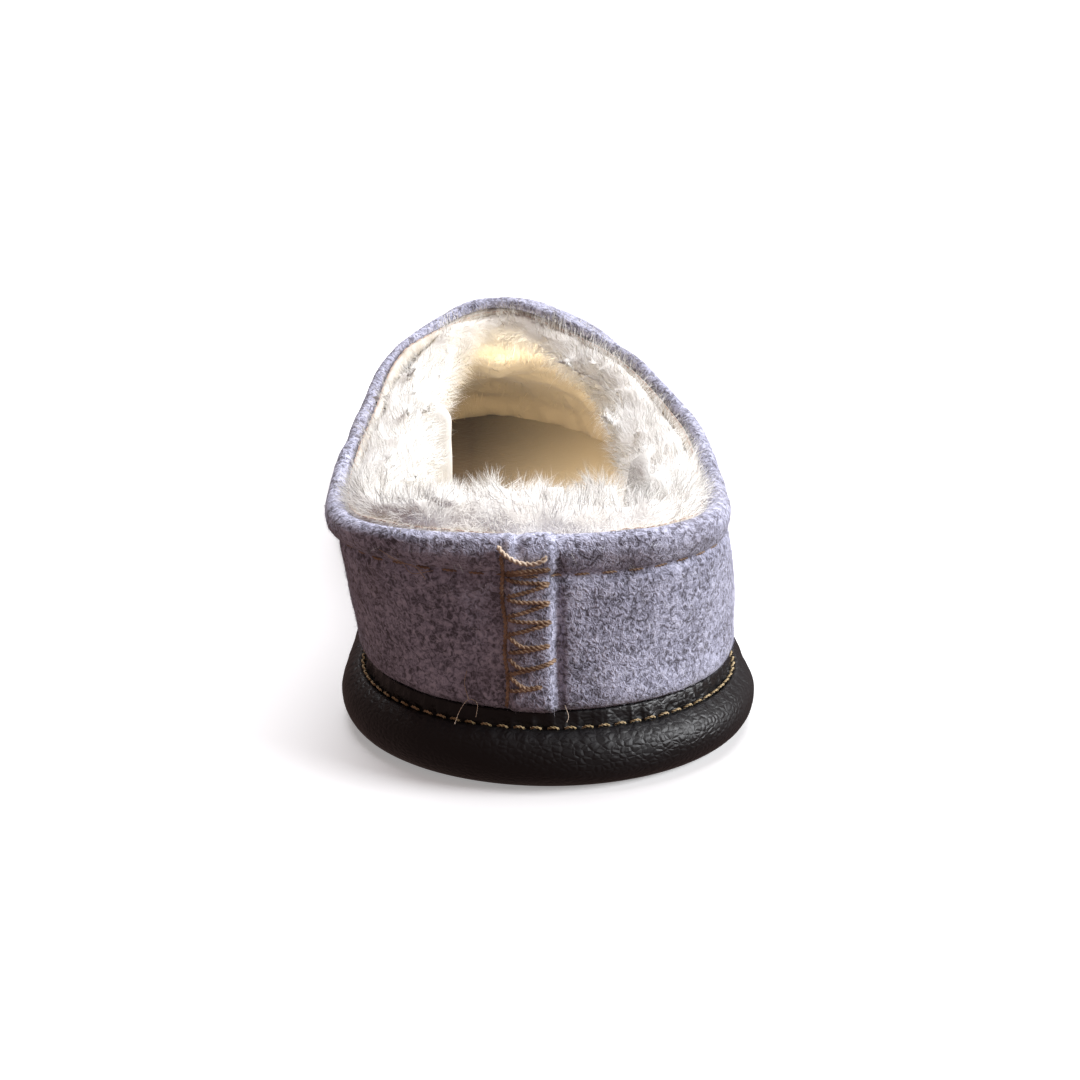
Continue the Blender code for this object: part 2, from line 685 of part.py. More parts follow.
def lock_shape(foot, lean, length, width, sides=5):
    """One lock of pile: a tapered, bent tuft from a foot inside the pile to its tip."""
    lean = unit(lean)
    across = unit(np.cross(lean, [0.31, 0.52, 0.80]))
    other = np.cross(lean, across)
    points = []
    for t, wide in ((0.0, 0.85), (0.35, 1.0), (0.75, 0.62)):
        middle = foot + lean * length * t + across * 0.28 * length * t * t
        for k in range(sides):
            angle = 2 * math.pi * k / sides
            ring = math.cos(angle) * across + math.sin(angle) * other
            points.append(middle + ring * wide * width / 2)
    points.append(foot + lean * length + across * 0.28 * length)
    faces = [list(range(sides))[::-1]]
    for level in range(2):
        for k in range(sides):
            one, two = level * sides + k, level * sides + (k + 1) % sides
            faces.append([one, two, two + sides, one + sides])
    faces += [[2 * sides + k, 2 * sides + (k + 1) % sides, 3 * sides] for k in range(sides)]
    return points, faces


def add_locks(lining, spots):
    """Fuses locks on to the pile, spread out so that no two of them touch."""
    chance = np.random.default_rng(11)
    centre = np.array([-COLLAR_SHIFT, 0.45 * THROAT_PLACE, 0.0])
    chosen, points, faces = [], [], []
    for spot in spots[chance.permutation(len(spots))]:
        if len(chosen) == LOCK_COUNT:
            break
        if chosen and min(np.linalg.norm(spot - other) for other in chosen) < 1.8 * LOCK_WIDTH:
            continue
        chosen.append(spot)
        inwards = (centre - spot) * [1.0, 1.0, 0.0]
        lean = unit(inwards) * chance.uniform(0.15, 0.75) + [0.0, 0.0, 1.0]
        lean = lean + chance.normal(0.0, 0.16, 3)
        length = LOCK_LENGTH * chance.uniform(0.8, 1.15)
        new_points, new_faces = lock_shape(spot - unit(lean) * LOCK_ROOT, lean, length, LOCK_WIDTH)
        faces += [[n + len(points) for n in face] for face in new_faces]
        points += new_points
    helper = new_object("pile_locks", points, faces, PILE_LOOK)
    helper.hide_render = True
    helper.display_type = "WIRE"
    fuse = lining.modifiers.new("locks", "BOOLEAN")
    fuse.operation = "UNION"
    fuse.solver = "EXACT"
    fuse.object = helper
    return helper


def place_origin(objects):
    """Moves the slipper so that its origin is on the floor under the middle of its plan."""
    turns = np.linspace(0, math.pi, 721)
    sides = np.concatenate([outline(-1, turns), outline(1, turns)])
    middle = (sides.min(axis=0) + sides.max(axis=0)) / 2
    for made in objects:
        made.location = (-middle[0], -middle[1], 0.0)


def collect(name, objects):
    """Puts the objects in a collection of this name."""
    kept = bpy.data.collections.new(name)
    bpy.context.scene.collection.children.link(kept)
    for shape in objects:
        bpy.context.scene.collection.objects.unlink(shape)
        kept.objects.link(shape)


def main():
    for old in list(bpy.data.objects):
        bpy.data.objects.remove(old)
    wall = Wall(fine=True)
    lining, spots = make_lining(Wall(fine=False))
    made = [make_sole(), make_rand(), make_insole(), make_upper(wall), make_binding(wall), lining]
    locks = add_locks(lining, spots)
    place_origin(made + [locks])
    collect("felt_slipper", made)
    collect("cutters", [locks])


main()
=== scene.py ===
"""Looks of the felt slipper for the right foot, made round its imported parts.

Metres, +Z up. Places are worked out from the heel, with y = 0 at the back of the sole, the toe at +Y and
the outer side of the foot at +X, as the part's own source does. Each mesh is moved by ORIGIN when it is
made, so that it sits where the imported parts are.
"""

import math

import bmesh
import bpy
import numpy as np
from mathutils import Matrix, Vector, noise
from mathutils.bvhtree import BVHTree
from mathutils.kdtree import KDTree

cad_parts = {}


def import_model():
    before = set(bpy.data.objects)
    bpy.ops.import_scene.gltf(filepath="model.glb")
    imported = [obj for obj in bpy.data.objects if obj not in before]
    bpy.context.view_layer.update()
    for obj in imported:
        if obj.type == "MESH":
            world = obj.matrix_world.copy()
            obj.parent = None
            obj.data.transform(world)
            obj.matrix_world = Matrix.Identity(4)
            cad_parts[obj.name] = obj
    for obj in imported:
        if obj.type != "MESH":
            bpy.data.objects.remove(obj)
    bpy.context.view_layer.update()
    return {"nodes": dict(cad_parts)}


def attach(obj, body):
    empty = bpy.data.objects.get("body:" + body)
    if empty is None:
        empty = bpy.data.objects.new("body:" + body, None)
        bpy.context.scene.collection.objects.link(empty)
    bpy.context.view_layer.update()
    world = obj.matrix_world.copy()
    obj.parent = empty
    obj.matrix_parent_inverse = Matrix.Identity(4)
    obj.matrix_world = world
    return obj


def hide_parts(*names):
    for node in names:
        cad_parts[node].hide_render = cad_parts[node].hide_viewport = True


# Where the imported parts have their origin, from the back of the heel.
ORIGIN = (-0.0035905, 0.132, 0.0)

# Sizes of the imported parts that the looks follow.
SOLE_LENGTH = 0.264
HEEL_WIDTH = 0.086
WAIST_WIDTH = 0.083
BALL_WIDTH = 0.100
TOE_WIDTH = 0.095
FOREFOOT_SWING = 0.0105
HEEL_ROUND = 0.046
TOE_ROUND = 0.074
ROLL_HEIGHT = 0.0119
SEAM_HEIGHT = 0.0105
EDGE_BULGE = 0.0046
SOLE_FLAT_EDGE = 0.0074
TOE_SPRING = 0.006
SPRING_START = 0.72 * SOLE_LENGTH
WAIST_LIFT = 0.0015
RAND_HEIGHT = 0.0036
RAND_WIDTH = 0.0036
RAND_LEAN = 0.0012
FELT = 0.0024
HEEL_RIM_HEIGHT = 0.0475
THROAT_HEIGHT = 0.0758
TOE_HEIGHT = 0.045
THROAT_PLACE = 0.4186 * SOLE_LENGTH
TOE_RIDGE_PLACE = 0.856 * SOLE_LENGTH
COLLAR_SHIFT = 0.0045
SEAM_SHIFT = 0.0038
WALL_BELLY = 0.0026
HEM_DEPTH = 0.0058
HEM_PUFF = 0.0010
LAP_WIDTH = 0.0088
BINDING_THICKNESS = 0.0009
BINDING_DEPTH = 0.0025
CLEARANCE = 0.0003

# Sizes of what is added here.
TOPSTITCH_PITCH = 0.0037
TOPSTITCH_LENGTH = 0.0025
TOPSTITCH_RADIUS = 0.00025
TOPSTITCH_JITTER = 0.0001
SEAM_THREAD_RADIUS = 0.00044
LOOP_RADIUS = 0.00052
HEM_STITCH_PITCH = 0.0052
HEM_STITCH_LENGTH = 0.62 * HEM_STITCH_PITCH
HEM_STITCH_RADIUS = 0.00030
BINDING_STITCH_PITCH = 0.0026
BINDING_STITCH_LENGTH = 0.0019
BINDING_STITCH_RADIUS = 0.00012
FIBRE_RADIUS = 0.00007
# The length of one full twist of each thread's two plies.
LOOP_TWIST = 0.0021
SEAM_TWIST = 0.0019
COARSE_TWIST = 0.0016
FIBRE_TWIST = 0.0012
FINE_TWIST = 0.0010
PLEAT_DEPTH = 0.0012
ROLL_SWELL = 0.0004
# The trough under the hem and the lap's rise, each a little more than the part's own.
HEM_TROUGH = 0.0010
LAP_RISE = 0.0009
# How thick the folded hem is at the heel, and what it loses by the sides and then by the throat.
HEM_THICKNESS = 0.0031
HEM_LOSS_SIDES = 0.0008
HEM_LOSS_THROAT = 0.0005
# How far the vamp's shoulders are drawn in, and how much further the outer one is.
SHOULDER_DRAW = 0.0026
SHOULDER_DRAW_OUTER = 0.0012
# The voxels of the pile's remeshed body, its depth under the hairs' tips, and how far back its toe end lies.
PILE_VOXEL = 0.0011
PILE_RELAX_STEPS = 22
PILE_COVER = 0.0026
TOE_FILL = 0.015

# Short hairs, in number, length and width: on the insole, then the felt's nap (shortest and longest).
INSOLE_HAIRS = 6000
INSOLE_HAIR_LENGTH = 0.0042
INSOLE_HAIR_WIDTH = 0.00022
NAP_HAIRS = 48000
NAP_LENGTHS = (0.0007, 0.0019)
NAP_WIDTHS = (0.00004, 0.00007)

# The hairs of the pile, in three pieces.
PILE_HAIRS = (
    # name, number, length, width, points of each
    ("pile_hairs_heel", 38000, 0.0050, 0.00009, 4),
    ("pile_hairs_sides", 38000, 0.0047, 0.00010, 4),
    ("pile_hairs_toe", 16000, 0.0036, 0.00016, 3),
)
# The places along the foot where the heel's hairs give way to the sides', and those to the toe's.
PILE_HAIR_BOUNDS = (0.036, 0.118)

# The floor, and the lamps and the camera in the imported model's frame.
FLOOR_SIDE = 60.0
LAMPS = (
    # name, kind, place, aim, power, width in metres or spread in degrees, colour
    ("overhead", "SUN", (0.02, 0.42, 1.0), (0, 0, 0), 2.8, 50.0, (0.96, 0.97, 1.0)),
    ("window", "SUN", (1.0, -0.17, 0.52), (0, 0, 0), 3.6, 34.0, (0.95, 0.97, 1.0)),
    ("opening", "AREA", (-0.012, -0.045, 0.030), (0.020, 0.050, 0.060), 0.036, 0.020, (1.0, 0.95, 0.86)),
)
OPENING_SPREAD = 85
CAMERA_PLACE = (-0.00652, -0.47824, 0.15153)
CAMERA_AIM = (0.00176, -0.09431, 0.03919)
CAMERA_LENS = 66.2
CAMERA_SENSOR = 36.0
AMBIENT = (1.0, 0.66, 0.60)
AMBIENT_STRENGTH = 0.17

# The outline of the sole: shares of SOLE_LENGTH and FOREFOOT_SWING, and the full width of the side.
OUTLINE = (
    # along, centre, width
    (0.00, 0.00, HEEL_WIDTH),
    (0.16, 0.00, HEEL_WIDTH),
    (0.38, 0.08, WAIST_WIDTH),
    (0.66, 0.30, BALL_WIDTH),
    (0.82, 0.76, TOE_WIDTH),
    (1.00, 1.20, TOE_WIDTH),
)

# The collar's rim, as in the part but for the row beside the throat on the inner side, which lies 2 mm
# further out, where the photograph has it: shares of half of HEEL_WIDTH, of THROAT_PLACE and of the rise
# to the throat, then where the wall under it meets the sole, its lean in degrees and its swell.
RIM = (
    # across, along, rise, foot, arch, belly
    (0.000, 0.045, 0.00, 0.000, 8, 0.4),
    (-0.330, 0.052, 0.00, 0.022, 8, 0.4),
    (-0.620, 0.083, 0.00, 0.054, 8, 0.6),
    (-0.845, 0.185, 0.00, 0.108, 8, 0.9),
    (-0.905, 0.380, 0.03, 0.180, 12, 1.0),
    (-0.825, 0.630, 0.32, 0.268, 28, 0.8),
    (-0.645, 0.862, 0.72, 0.358, 58, 0.4),
    (-0.128, 1.000, 1.00, 0.450, 90, 0.4),
    (0.465, 0.862, 0.74, 0.358, 58, 0.4),
    (0.815, 0.630, 0.36, 0.268, 28, 0.5),
    (0.895, 0.400, 0.10, 0.180, 12, 0.6),
    (0.850, 0.185, 0.03, 0.108, 8, 0.4),
    (0.620, 0.083, 0.01, 0.054, 8, 0.4),
    (0.330, 0.052, 0.00, 0.022, 8, 0.4),
)
THROAT_ROW = 7

# The vamp's ridge from the throat to the toe, as in the part.
RIDGE = (
    # along, across, fall
    (0.00, 0.94, 0.00),
    (0.25, 0.94, 0.26),
    (0.50, 0.95, 0.57),
    (0.75, 0.97, 0.84),
    (1.00, 1.00, 1.00),
)

# Soft troughs (depth below zero) and ridges (above zero) in the felt: millimetres from the
# heel, each with its depth and the distance at which it fades.
CREASES = (
    # depth, reach, places
    (-0.95, 1.1, ((0.7, 4, 45), (0.7, 4.3, 30), (0.8, 4.8, 16))),
    (-0.45, 0.8, ((-9.6, 4, 43), (-9.4, 5, 30), (-9.2, 5.5, 16))),
    (-0.60, 1.1, ((-7.0, 4.5, 49), (-6.8, 4, 46))),
    (-0.55, 2.6, ((-40, 22, 43), (-37, 13, 42.5), (-28, 9, 42))),
    (0.45, 3.2, ((-38, 26, 33), (-36, 15, 29), (-30, 9, 26))),
    (-0.40, 3.4, ((-39, 24, 25), (-35, 14, 22), (-27, 8, 20))),
    (0.35, 4.0, ((12, 6, 36), (24, 10, 32), (33, 16, 30))),
    (-0.35, 4.2, ((20, 9, 22), (30, 14, 25), (37, 24, 24))),
    (-0.70, 4.0, ((-38, 148, 22), (-26, 152, 47), (-9, 153, 58), (10, 150, 53), (27, 147, 36))),
    (0.50, 4.5, ((-34, 162, 26), (-22, 164, 44), (-9, 164, 53), (8, 163, 49), (25, 158, 32))),
    (-0.45, 3.8, ((-36, 176, 24), (-24, 177, 40), (-9, 178, 49), (8, 176, 45))),
    (-0.50, 3.0, ((-42, 62, 52), (-43, 66, 40), (-44, 70, 26), (-43, 72, 18))),
    (-0.50, 3.0, ((37, 62, 54), (41, 66, 42), (44, 70, 28), (44, 72, 18))),
)

# The needlework down the back seam: heights of the stitch tips above the floor, in millimetres.
SEAM_STITCHES = (
    # tip's height, reach, start above and below the tip, droop between (all mm)
    (43.6, 8.6, -0.9, 1.5, 0.1),
    (40.6, 8.4, 0.5, 2.6, 0.1),
    (37.0, 8.4, 0.4, 2.9, 0.2),
    (33.2, 8.6, 0.3, 2.7, 0.2),
    (28.6, 8.2, 1.5, 1.7, 1.0),
    (25.4, 9.3, 0.2, 2.9, 1.7),
    (20.4, 6.6, 1.7, 1.2, 1.1),
)

# The cut edge of the heel's shearling seen from above, going round: across and along, in millimetres.
PILE_EDGE = (
    (-30.0, 75.6), (-26.0, 76.6), (-23.6, 77.2), (-21.6, 77.5), (-20.7, 77.9), (-20.3, 78.8),
    (-20.4, 81.0), (-21.4, 86.0), (-24.0, 92.0), (-28.0, 95.0), (-30.0, 86.0),
)

# Loose hairs and a thread's end at the back: across from the seam, height and distance off the felt, in mm.
LOOSE_FIBRES = (
    ((-28.0, 46.0, 0.3), (-25.0, 44.6, 1.4), (-22.5, 42.6, 1.2), (-20.0, 41.6, 0.2)),
    ((-26.5, 44.5, 0.3), (-24.0, 43.6, 1.6), (-21.5, 43.2, 1.5), (-19.5, 40.2, 0.6)),
    ((-24.5, 45.6, 0.2), (-23.8, 43.0, 1.0), (-22.0, 41.2, 1.4), (-18.0, 41.8, 0.3)),
    ((-15.0, 12.4, 5.4), (-13.8, 14.8, 3.2), (-12.2, 16.6, 1.2), (-10.6, 16.0, 1.4), (-10.9, 13.6, 3.0)),
    ((-12.2, 16.6, 1.2), (-12.9, 19.5, 0.8), (-12.4, 22.0, 0.2)),
    ((6.0, 16.2, 0.4), (6.6, 14.6, 2.2), (6.2, 13.6, 3.0)),
)


def smooth(knots, values, at):
    """A curve through the values, with the slope at each knot taken from its neighbours."""
    knots, values = np.asarray(knots, float), np.asarray(values, float)
    at = np.clip(np.asarray(at, float), knots[0], knots[-1])
    slopes = np.gradient(values, knots, axis=0)
    cell = np.clip(np.searchsorted(knots, at, side="right") - 1, 0, len(knots) - 2)
    width = knots[cell + 1] - knots[cell]
    t = (at - knots[cell]) / width
    if values.ndim > 1:
        t, width = t[..., None], width[..., None]
    start, end = values[cell], values[cell + 1]
    rise, fall = slopes[cell] * width, slopes[cell + 1] * width
    return (
        start * (1 + 2 * t) * (1 - t) ** 2
        + rise * t * (1 - t) ** 2
        + end * t**2 * (3 - 2 * t)
        + fall * t**2 * (t - 1)
    )


def ease(x, low, high):
    """0 below low, 1 above high, and a soft step between."""
    t = np.clip((np.asarray(x, float) - low) / (high - low), 0.0, 1.0)
    return t * t * (3 - 2 * t)


def unit(vectors):
    """The same directions with a length of 1."""
    return vectors / np.maximum(np.linalg.norm(vectors, axis=-1, keepdims=True), 1e-12)


def bumps(points, size, seed=0.0):
    """Smooth noise between about -1 and 1 whose lumps are this size."""
    places = np.asarray(points) / size + seed
    return np.array([noise.noise(Vector(p)) for p in places])


def three_bumps(points, size, *seeds):
    """Smooth noise on each of the three axes."""
    return np.stack([bumps(points, size, seed) for seed in seeds], axis=-1)


def arc_length(line):
    """How far along a line of points each of them lies."""
    return np.concatenate([[0.0], np.cumsum(np.linalg.norm(np.diff(line, axis=0), axis=1))])


def read_off(at, arc, rows, period=None):
    """The rows, given at distances along a line, read off at other distances."""
    return np.stack([np.interp(at, arc, column, period=period) for column in rows.T], axis=-1)


def closed(line):
    """The line of points with its first point repeated at the end."""
    return np.concatenate([line, line[:1]])


def centre_line(share):
    """How far the middle of the sole swings to the inner side, at a share of its length."""
    rows = np.array(OUTLINE)
    return -FOREFOOT_SWING * smooth(rows[:, 0], rows[:, 1], share)


def half_width(share):
    """Half of the sole's width, closed by a round heel and toe."""
    rows = np.array(OUTLINE)
    flat = smooth(rows[:, 0], rows[:, 2], share) / 2
    heel = np.clip(1 - share * SOLE_LENGTH / HEEL_ROUND, 0.0, 1.0)
    toe = np.clip(1 - (1 - share) * SOLE_LENGTH / TOE_ROUND, 0.0, 1.0)
    return flat * np.sqrt(1 - heel**2.05) * (1 - toe**2.3) ** 0.5


def turn_of(share):
    """The turn round the outline, from 0 at the heel to pi at the toe, at a share of the length."""
    return np.arccos(1 - 2 * np.clip(share, 0.0, 1.0))


def outline(side, turn, inset=0.0):
    """Point on the plan of the sole, on the inner side (-1) or the outer side (+1)."""
    turn = np.asarray(turn, float)

    def raw(angle):
        folded = np.abs(angle)
        folded = np.where(folded > math.pi, 2 * math.pi - folded, folded)
        share = (1 - np.cos(folded)) / 2
        sign = np.where((angle < 0) | (angle > math.pi), -side, side)
        across = centre_line(share) + sign * half_width(share)
        return np.stack([across, share * SOLE_LENGTH], axis=-1)

    step = 0.02
    ahead = unit(raw(turn + step) - raw(turn - step))
    inward = np.stack([-side * ahead[..., 1], side * ahead[..., 0]], axis=-1)
    return raw(turn) + np.asarray(inset)[..., None] * inward


def spring(along):
    """How far the sole rises under the toe."""
    return TOE_SPRING * np.clip((along - SPRING_START) / (SOLE_LENGTH - SPRING_START), 0.0, 1.2) ** 2


def waist(along, across):
    """How far the underside is lifted under the arch of the foot."""
    share = along / SOLE_LENGTH
    bump = ease(share, 0.24, 0.36) * (1 - ease(share, 0.42, 0.56))
    lean = 0.6 - 0.4 * np.clip(across / (WAIST_WIDTH / 2), -1.0, 1.0)
    return WAIST_LIFT * bump * lean


def on_plan(flat, height):
    """Points of the plan at a height above the sole's rising line."""
    height = np.broadcast_to(height, flat.shape[:-1])
    return np.concatenate([flat, (height + spring(flat[..., 1]))[..., None]], axis=-1)


RAND_FOOT = SEAM_HEIGHT + CLEARANCE
FELT_FOOT = RAND_FOOT + RAND_HEIGHT + CLEARANCE
FELT_INSET = EDGE_BULGE + RAND_LEAN


def seam_turn():
    """The turn at which the back seam meets the sole."""
    turns = np.linspace(0.0, 0.3, 61)
    return np.interp(SEAM_SHIFT, -outline(-1, turns, FELT_INSET)[:, 0], turns)


def side_of_rim(side):
    """The rim from the back seam to the throat on one side, with the arc length along it."""
    rows = np.array(RIM)
    wrapped = np.concatenate([rows[-3:], rows, rows[:3]])
    at = np.linspace(0, len(rows), 961)
    found = smooth(np.arange(-3, len(rows) + 3), wrapped, at)
    found[:, 0] = found[:, 0] * HEEL_WIDTH / 2 - COLLAR_SHIFT
    found[:, 1] *= THROAT_PLACE
    found[:, 2] = HEEL_RIM_HEIGHT + (THROAT_HEIGHT - HEEL_RIM_HEIGHT) * found[:, 2]
    found = found[at <= THROAT_ROW + 1e-9] if side < 0 else found[at >= THROAT_ROW - 1e-9][::-1]
    return arc_length(found[:, :3]), found


def ridge_points(share):
    """The vamp's ridge at shares of the way from the throat to the toe."""
    rows = np.array(RIDGE)
    found = smooth(rows[:, 0], rows[:, 1:], share)
    along = THROAT_PLACE + (TOE_RIDGE_PLACE - THROAT_PLACE) * share
    height = THROAT_HEIGHT + (TOE_HEIGHT - THROAT_HEIGHT) * found[:, 1]
    return np.stack([-FOREFOOT_SWING * found[:, 0], along, height], axis=-1)


# Distances of the felt's rows from its rim, and of its first lines from the back seam.
HEM_ROWS = np.linspace(0, 1.5, 25) * HEM_DEPTH
LAP_LINES = np.linspace(0.0, 0.75, 18) * LAP_WIDTH
RIM_LINES = 120
VAMP_LINES = 66
WALL_ROWS = 30


def wall_grid(side):
    """Rows of points on the outer face of the felt, one row for each line up the wall."""
    arc, rim = side_of_rim(side)
    at = np.concatenate([LAP_LINES, np.linspace(LAP_LINES[-1], arc[-1], RIM_LINES + 1)[1:]])
    found = read_off(at, arc, rim)
    tops, feet, arches, bellies = found[:, :3], found[:, 3], np.radians(found[:, 4]), found[:, 5]
    hem = HEM_ROWS[1:] / (TOE_RIDGE_PLACE - THROAT_PLACE)
    ridge = np.concatenate([hem, np.linspace(hem[-1], 1.0, VAMP_LINES + 1)[1:]])
    throat_turn = turn_of(feet[-1])
    turns = turn_of(feet)
    turns = turns - side * seam_turn() * (1 - turns / throat_turn) ** 2
    turns = np.concatenate([turns, throat_turn + (math.pi - throat_turn) * ridge**0.9])
    tops = np.concatenate([tops, ridge_points(ridge)])
    arches = np.concatenate([arches, np.full(len(ridge), math.pi / 2)])
    bellies = np.concatenate([bellies, np.full(len(ridge), bellies[-1])])
    foot = on_plan(outline(side, turns, FELT_INSET), FELT_FOOT)
    length = np.linalg.norm(tops - foot, axis=1)
    rows = 1 - np.outer(1 / length, HEM_ROWS)
    left = rows[:, -1:] * (1 - np.linspace(0, 1, WALL_ROWS + 1)[1:])[None, :]
    v = np.concatenate([rows, left], axis=1)
    swing = v * arches[:, None]
    over = (1 - np.cos(swing)) / (1 - np.cos(arches))[:, None]
    up = np.sin(swing) / np.sin(arches)[:, None]
    span = tops[:, None, :] - foot[:, None, :]
    points = foot[:, None, :] + span * np.stack([over, over, up], axis=-1)
    around = np.gradient(foot, axis=0)
    outward = unit(np.stack([side * around[:, 1], -side * around[:, 0], 0 * around[:, 0]], axis=-1))
    belly = WALL_BELLY * bellies[:, None] * np.sin(math.pi * v**0.75)
    return points + outward[:, None, :] * belly[..., None], len(at)


def face_normals_at(points, faces):
    """The normals at the points of a mesh of quads."""
    corners = points[faces]
    crossed = np.cross(corners[:, 2] - corners[:, 0], corners[:, 3] - corners[:, 1])
    found = np.zeros_like(points)
    for k in range(4):
        np.add.at(found, faces[:, k], crossed)
    return unit(found)


class Wall:
    """The outer face of the felt, once round the foot, as a fine mesh with its rim, foot and hem line."""

    def __init__(self):
        inner, rims = wall_grid(-1)
        outer, _ = wall_grid(1)
        lines, depth = inner.shape[:2]
        one = np.arange(lines * depth).reshape(lines, depth)
        other = one + lines * depth
        other[0], other[-1], other[rims - 1 :, 0] = one[0], one[-1], one[rims - 1 :, 0]
        index = np.concatenate([one, other[::-1]])
        used, index = np.unique(index, return_inverse=True)
        index = index.reshape(2 * lines, depth)
        self.points = np.concatenate([inner, outer]).reshape(-1, 3)[used]
        faces = np.stack([index[:-1, :-1], index[1:, :-1], index[1:, 1:], index[:-1, 1:]], axis=-1)
        faces = faces.reshape(-1, 4)
        self.faces = faces[[len(set(face)) > 2 for face in faces.tolist()]]
        self.rounded_ridge()
        self.normals = face_normals_at(self.points, self.faces)
        middle = self.points.mean(axis=0)
        if np.mean(np.sum(self.normals * (self.points - middle), axis=1)) < 0:
            self.normals = -self.normals
            self.faces = self.faces[:, ::-1]
        self.rim = np.concatenate([index[:rims, 0], index[len(index) - rims : -1, 0][1:]])
        foot = index[:-1, -1]
        self.foot = np.array([n for k, n in enumerate(foot) if n != foot[k - 1]])
        at_hem = int(np.argmin(np.abs(HEM_ROWS - HEM_DEPTH)))
        self.hem = np.concatenate([index[:rims, at_hem], index[len(index) - rims : -1, at_hem][1:]])
        self.gap = polyline_distance(self.points, closed(self.points[self.rim]))
        low, high = self.points[self.foot[0]], self.points[self.rim[0]]
        self.back = self.points[:, 0] - np.interp(self.points[:, 2], [low[2], high[2]], [low[0], high[0]])

    def rounded_ridge(self):
        """The two sides meet along the vamp's ridge: the points near it are relaxed until no crease is left."""
        ridge = ridge_points(np.linspace(0, 1, 60))
        away = np.linalg.norm(self.points[:, None, :2] - ridge[None, :, :2], axis=2).min(axis=1)
        share = (1 - ease(away, 0.004, 0.016)) * ease(self.points[:, 1], THROAT_PLACE, THROAT_PLACE + 0.012)
        for _ in range(40):
            total = np.zeros_like(self.points)
            times = np.zeros((len(self.points), 1))
            for k in range(4):
                near = self.faces[:, (k + 1) % 4]
                for one, other in ((self.faces[:, k], near), (near, self.faces[:, k])):
                    np.add.at(total, one, self.points[other])
                    np.add.at(times, one, 1.0)
            self.points += (total / np.maximum(times, 1) - self.points) * 0.6 * share[:, None]

    def tree(self, points):
        return BVHTree.FromPolygons(points.tolist(), self.faces.tolist())


def polyline_distance(points, line):
    """How far each point lies from a line of straight stretches."""
    least = np.full(len(points), np.inf)
    for a, b in zip(line[:-1], line[1:]):
        s = b - a
        t = np.clip((points - a) @ s / (s @ s), 0, 1)
        least = np.minimum(least, np.linalg.norm(points - a - t[:, None] * s, axis=1))
    return least


def creased(points):
    """The listed creases: how far each point is pushed out or in."""
    found = np.zeros(len(points))
    for depth, reach, places in CREASES:
        line = np.array(places, float) / 1000
        knots = np.arange(len(line))
        line = smooth(knots, line, np.linspace(0, knots[-1], 8 * len(line)))
        away = polyline_distance(points, line)
        found += depth / 1000 * np.exp(-((away / (reach / 1000)) ** 2))
    return found


def rim_depth(points):
    """How thick the folded hem is behind the wall's line: fullest at the heel, thin at the throat."""
    sides, throat = ease(points[:, 1], 0.018, 0.060), ease(points[:, 1], 0.070, 0.100)
    return HEM_THICKNESS - HEM_LOSS_SIDES * sides - HEM_LOSS_THROAT * throat


def shoulders(points):
    """The vamp's two shoulders, drawn in so that the rim hides them from behind."""
    beside = ease(np.abs(points[:, 0] + FOREFOOT_SWING), 0.010, 0.024)
    high = np.exp(-(((points[:, 2] - 0.052) / 0.012) ** 2))
    outer = (points[:, 0] > -FOREFOOT_SWING).astype(float)
    far = ease(points[:, 1], 0.108, 0.140) * (1 - ease(points[:, 1], 0.185, 0.215))
    return (SHOULDER_DRAW + SHOULDER_DRAW_OUTER * outer) * beside * high * far


def felt_relief(wall):
    """How far the felt's outer face stands out from its plain shape."""
    gap, points = wall.gap, wall.points
    share = np.clip(gap / HEM_DEPTH, 0.0, 1.0)
    at_corner = np.exp(-(np.linalg.norm(points[:, :2] - [-0.041, 0.030], axis=1) / 0.024) ** 2)
    forward = ease(points[:, 1], 0.050, 0.100)
    taper = 0.35 * ease(share, 0.80, 1.0) + 0.65 * ease(share, 0.15 + 0.50 * forward, 0.85 + 0.15 * forward)
    puff = HEM_PUFF * (1 - 0.50 * forward) * (1 - taper)
    puff += (ROLL_SWELL * (1 - forward) + 0.0001 * at_corner) * np.sin(math.pi * share**0.6) ** 0.8
    waver = 1 + 0.35 * bumps(points, 0.008, 3.1)
    trough = HEM_TROUGH * waver * np.exp(-(((gap - HEM_DEPTH) / (0.20 * HEM_DEPTH)) ** 2))
    at_heel = points[:, 1] < HEEL_ROUND / 2
    edge = LAP_WIDTH / 2 * (1 + 0.05 * bumps(points, 0.006, 8.0))
    lap = LAP_RISE * (1 - ease(np.abs(wall.back), 0.78 * edge, 1.16 * edge)) * at_heel
    height = points[:, 2] - spring(points[:, 1]) - FELT_FOOT
    bulge = 0.0006 * np.exp(-(((height - 0.0022) / 0.0030) ** 2)) - 0.0006 * (1 - ease(height, 0.0, 0.0012))
    soft = 0.00030 * bumps(points, 0.022, 1.3) + 0.00018 * bumps(points, 0.007, 5.2)
    fine = 0.00010 * bumps(points, 0.0026, 2.7)
    return puff - trough + lap + bulge + creased(points) + soft + fine - shoulders(points)


def placed(name, data):
    """A new object in the scene."""
    made = bpy.data.objects.new(name, data)
    bpy.context.scene.collection.objects.link(made)
    return made


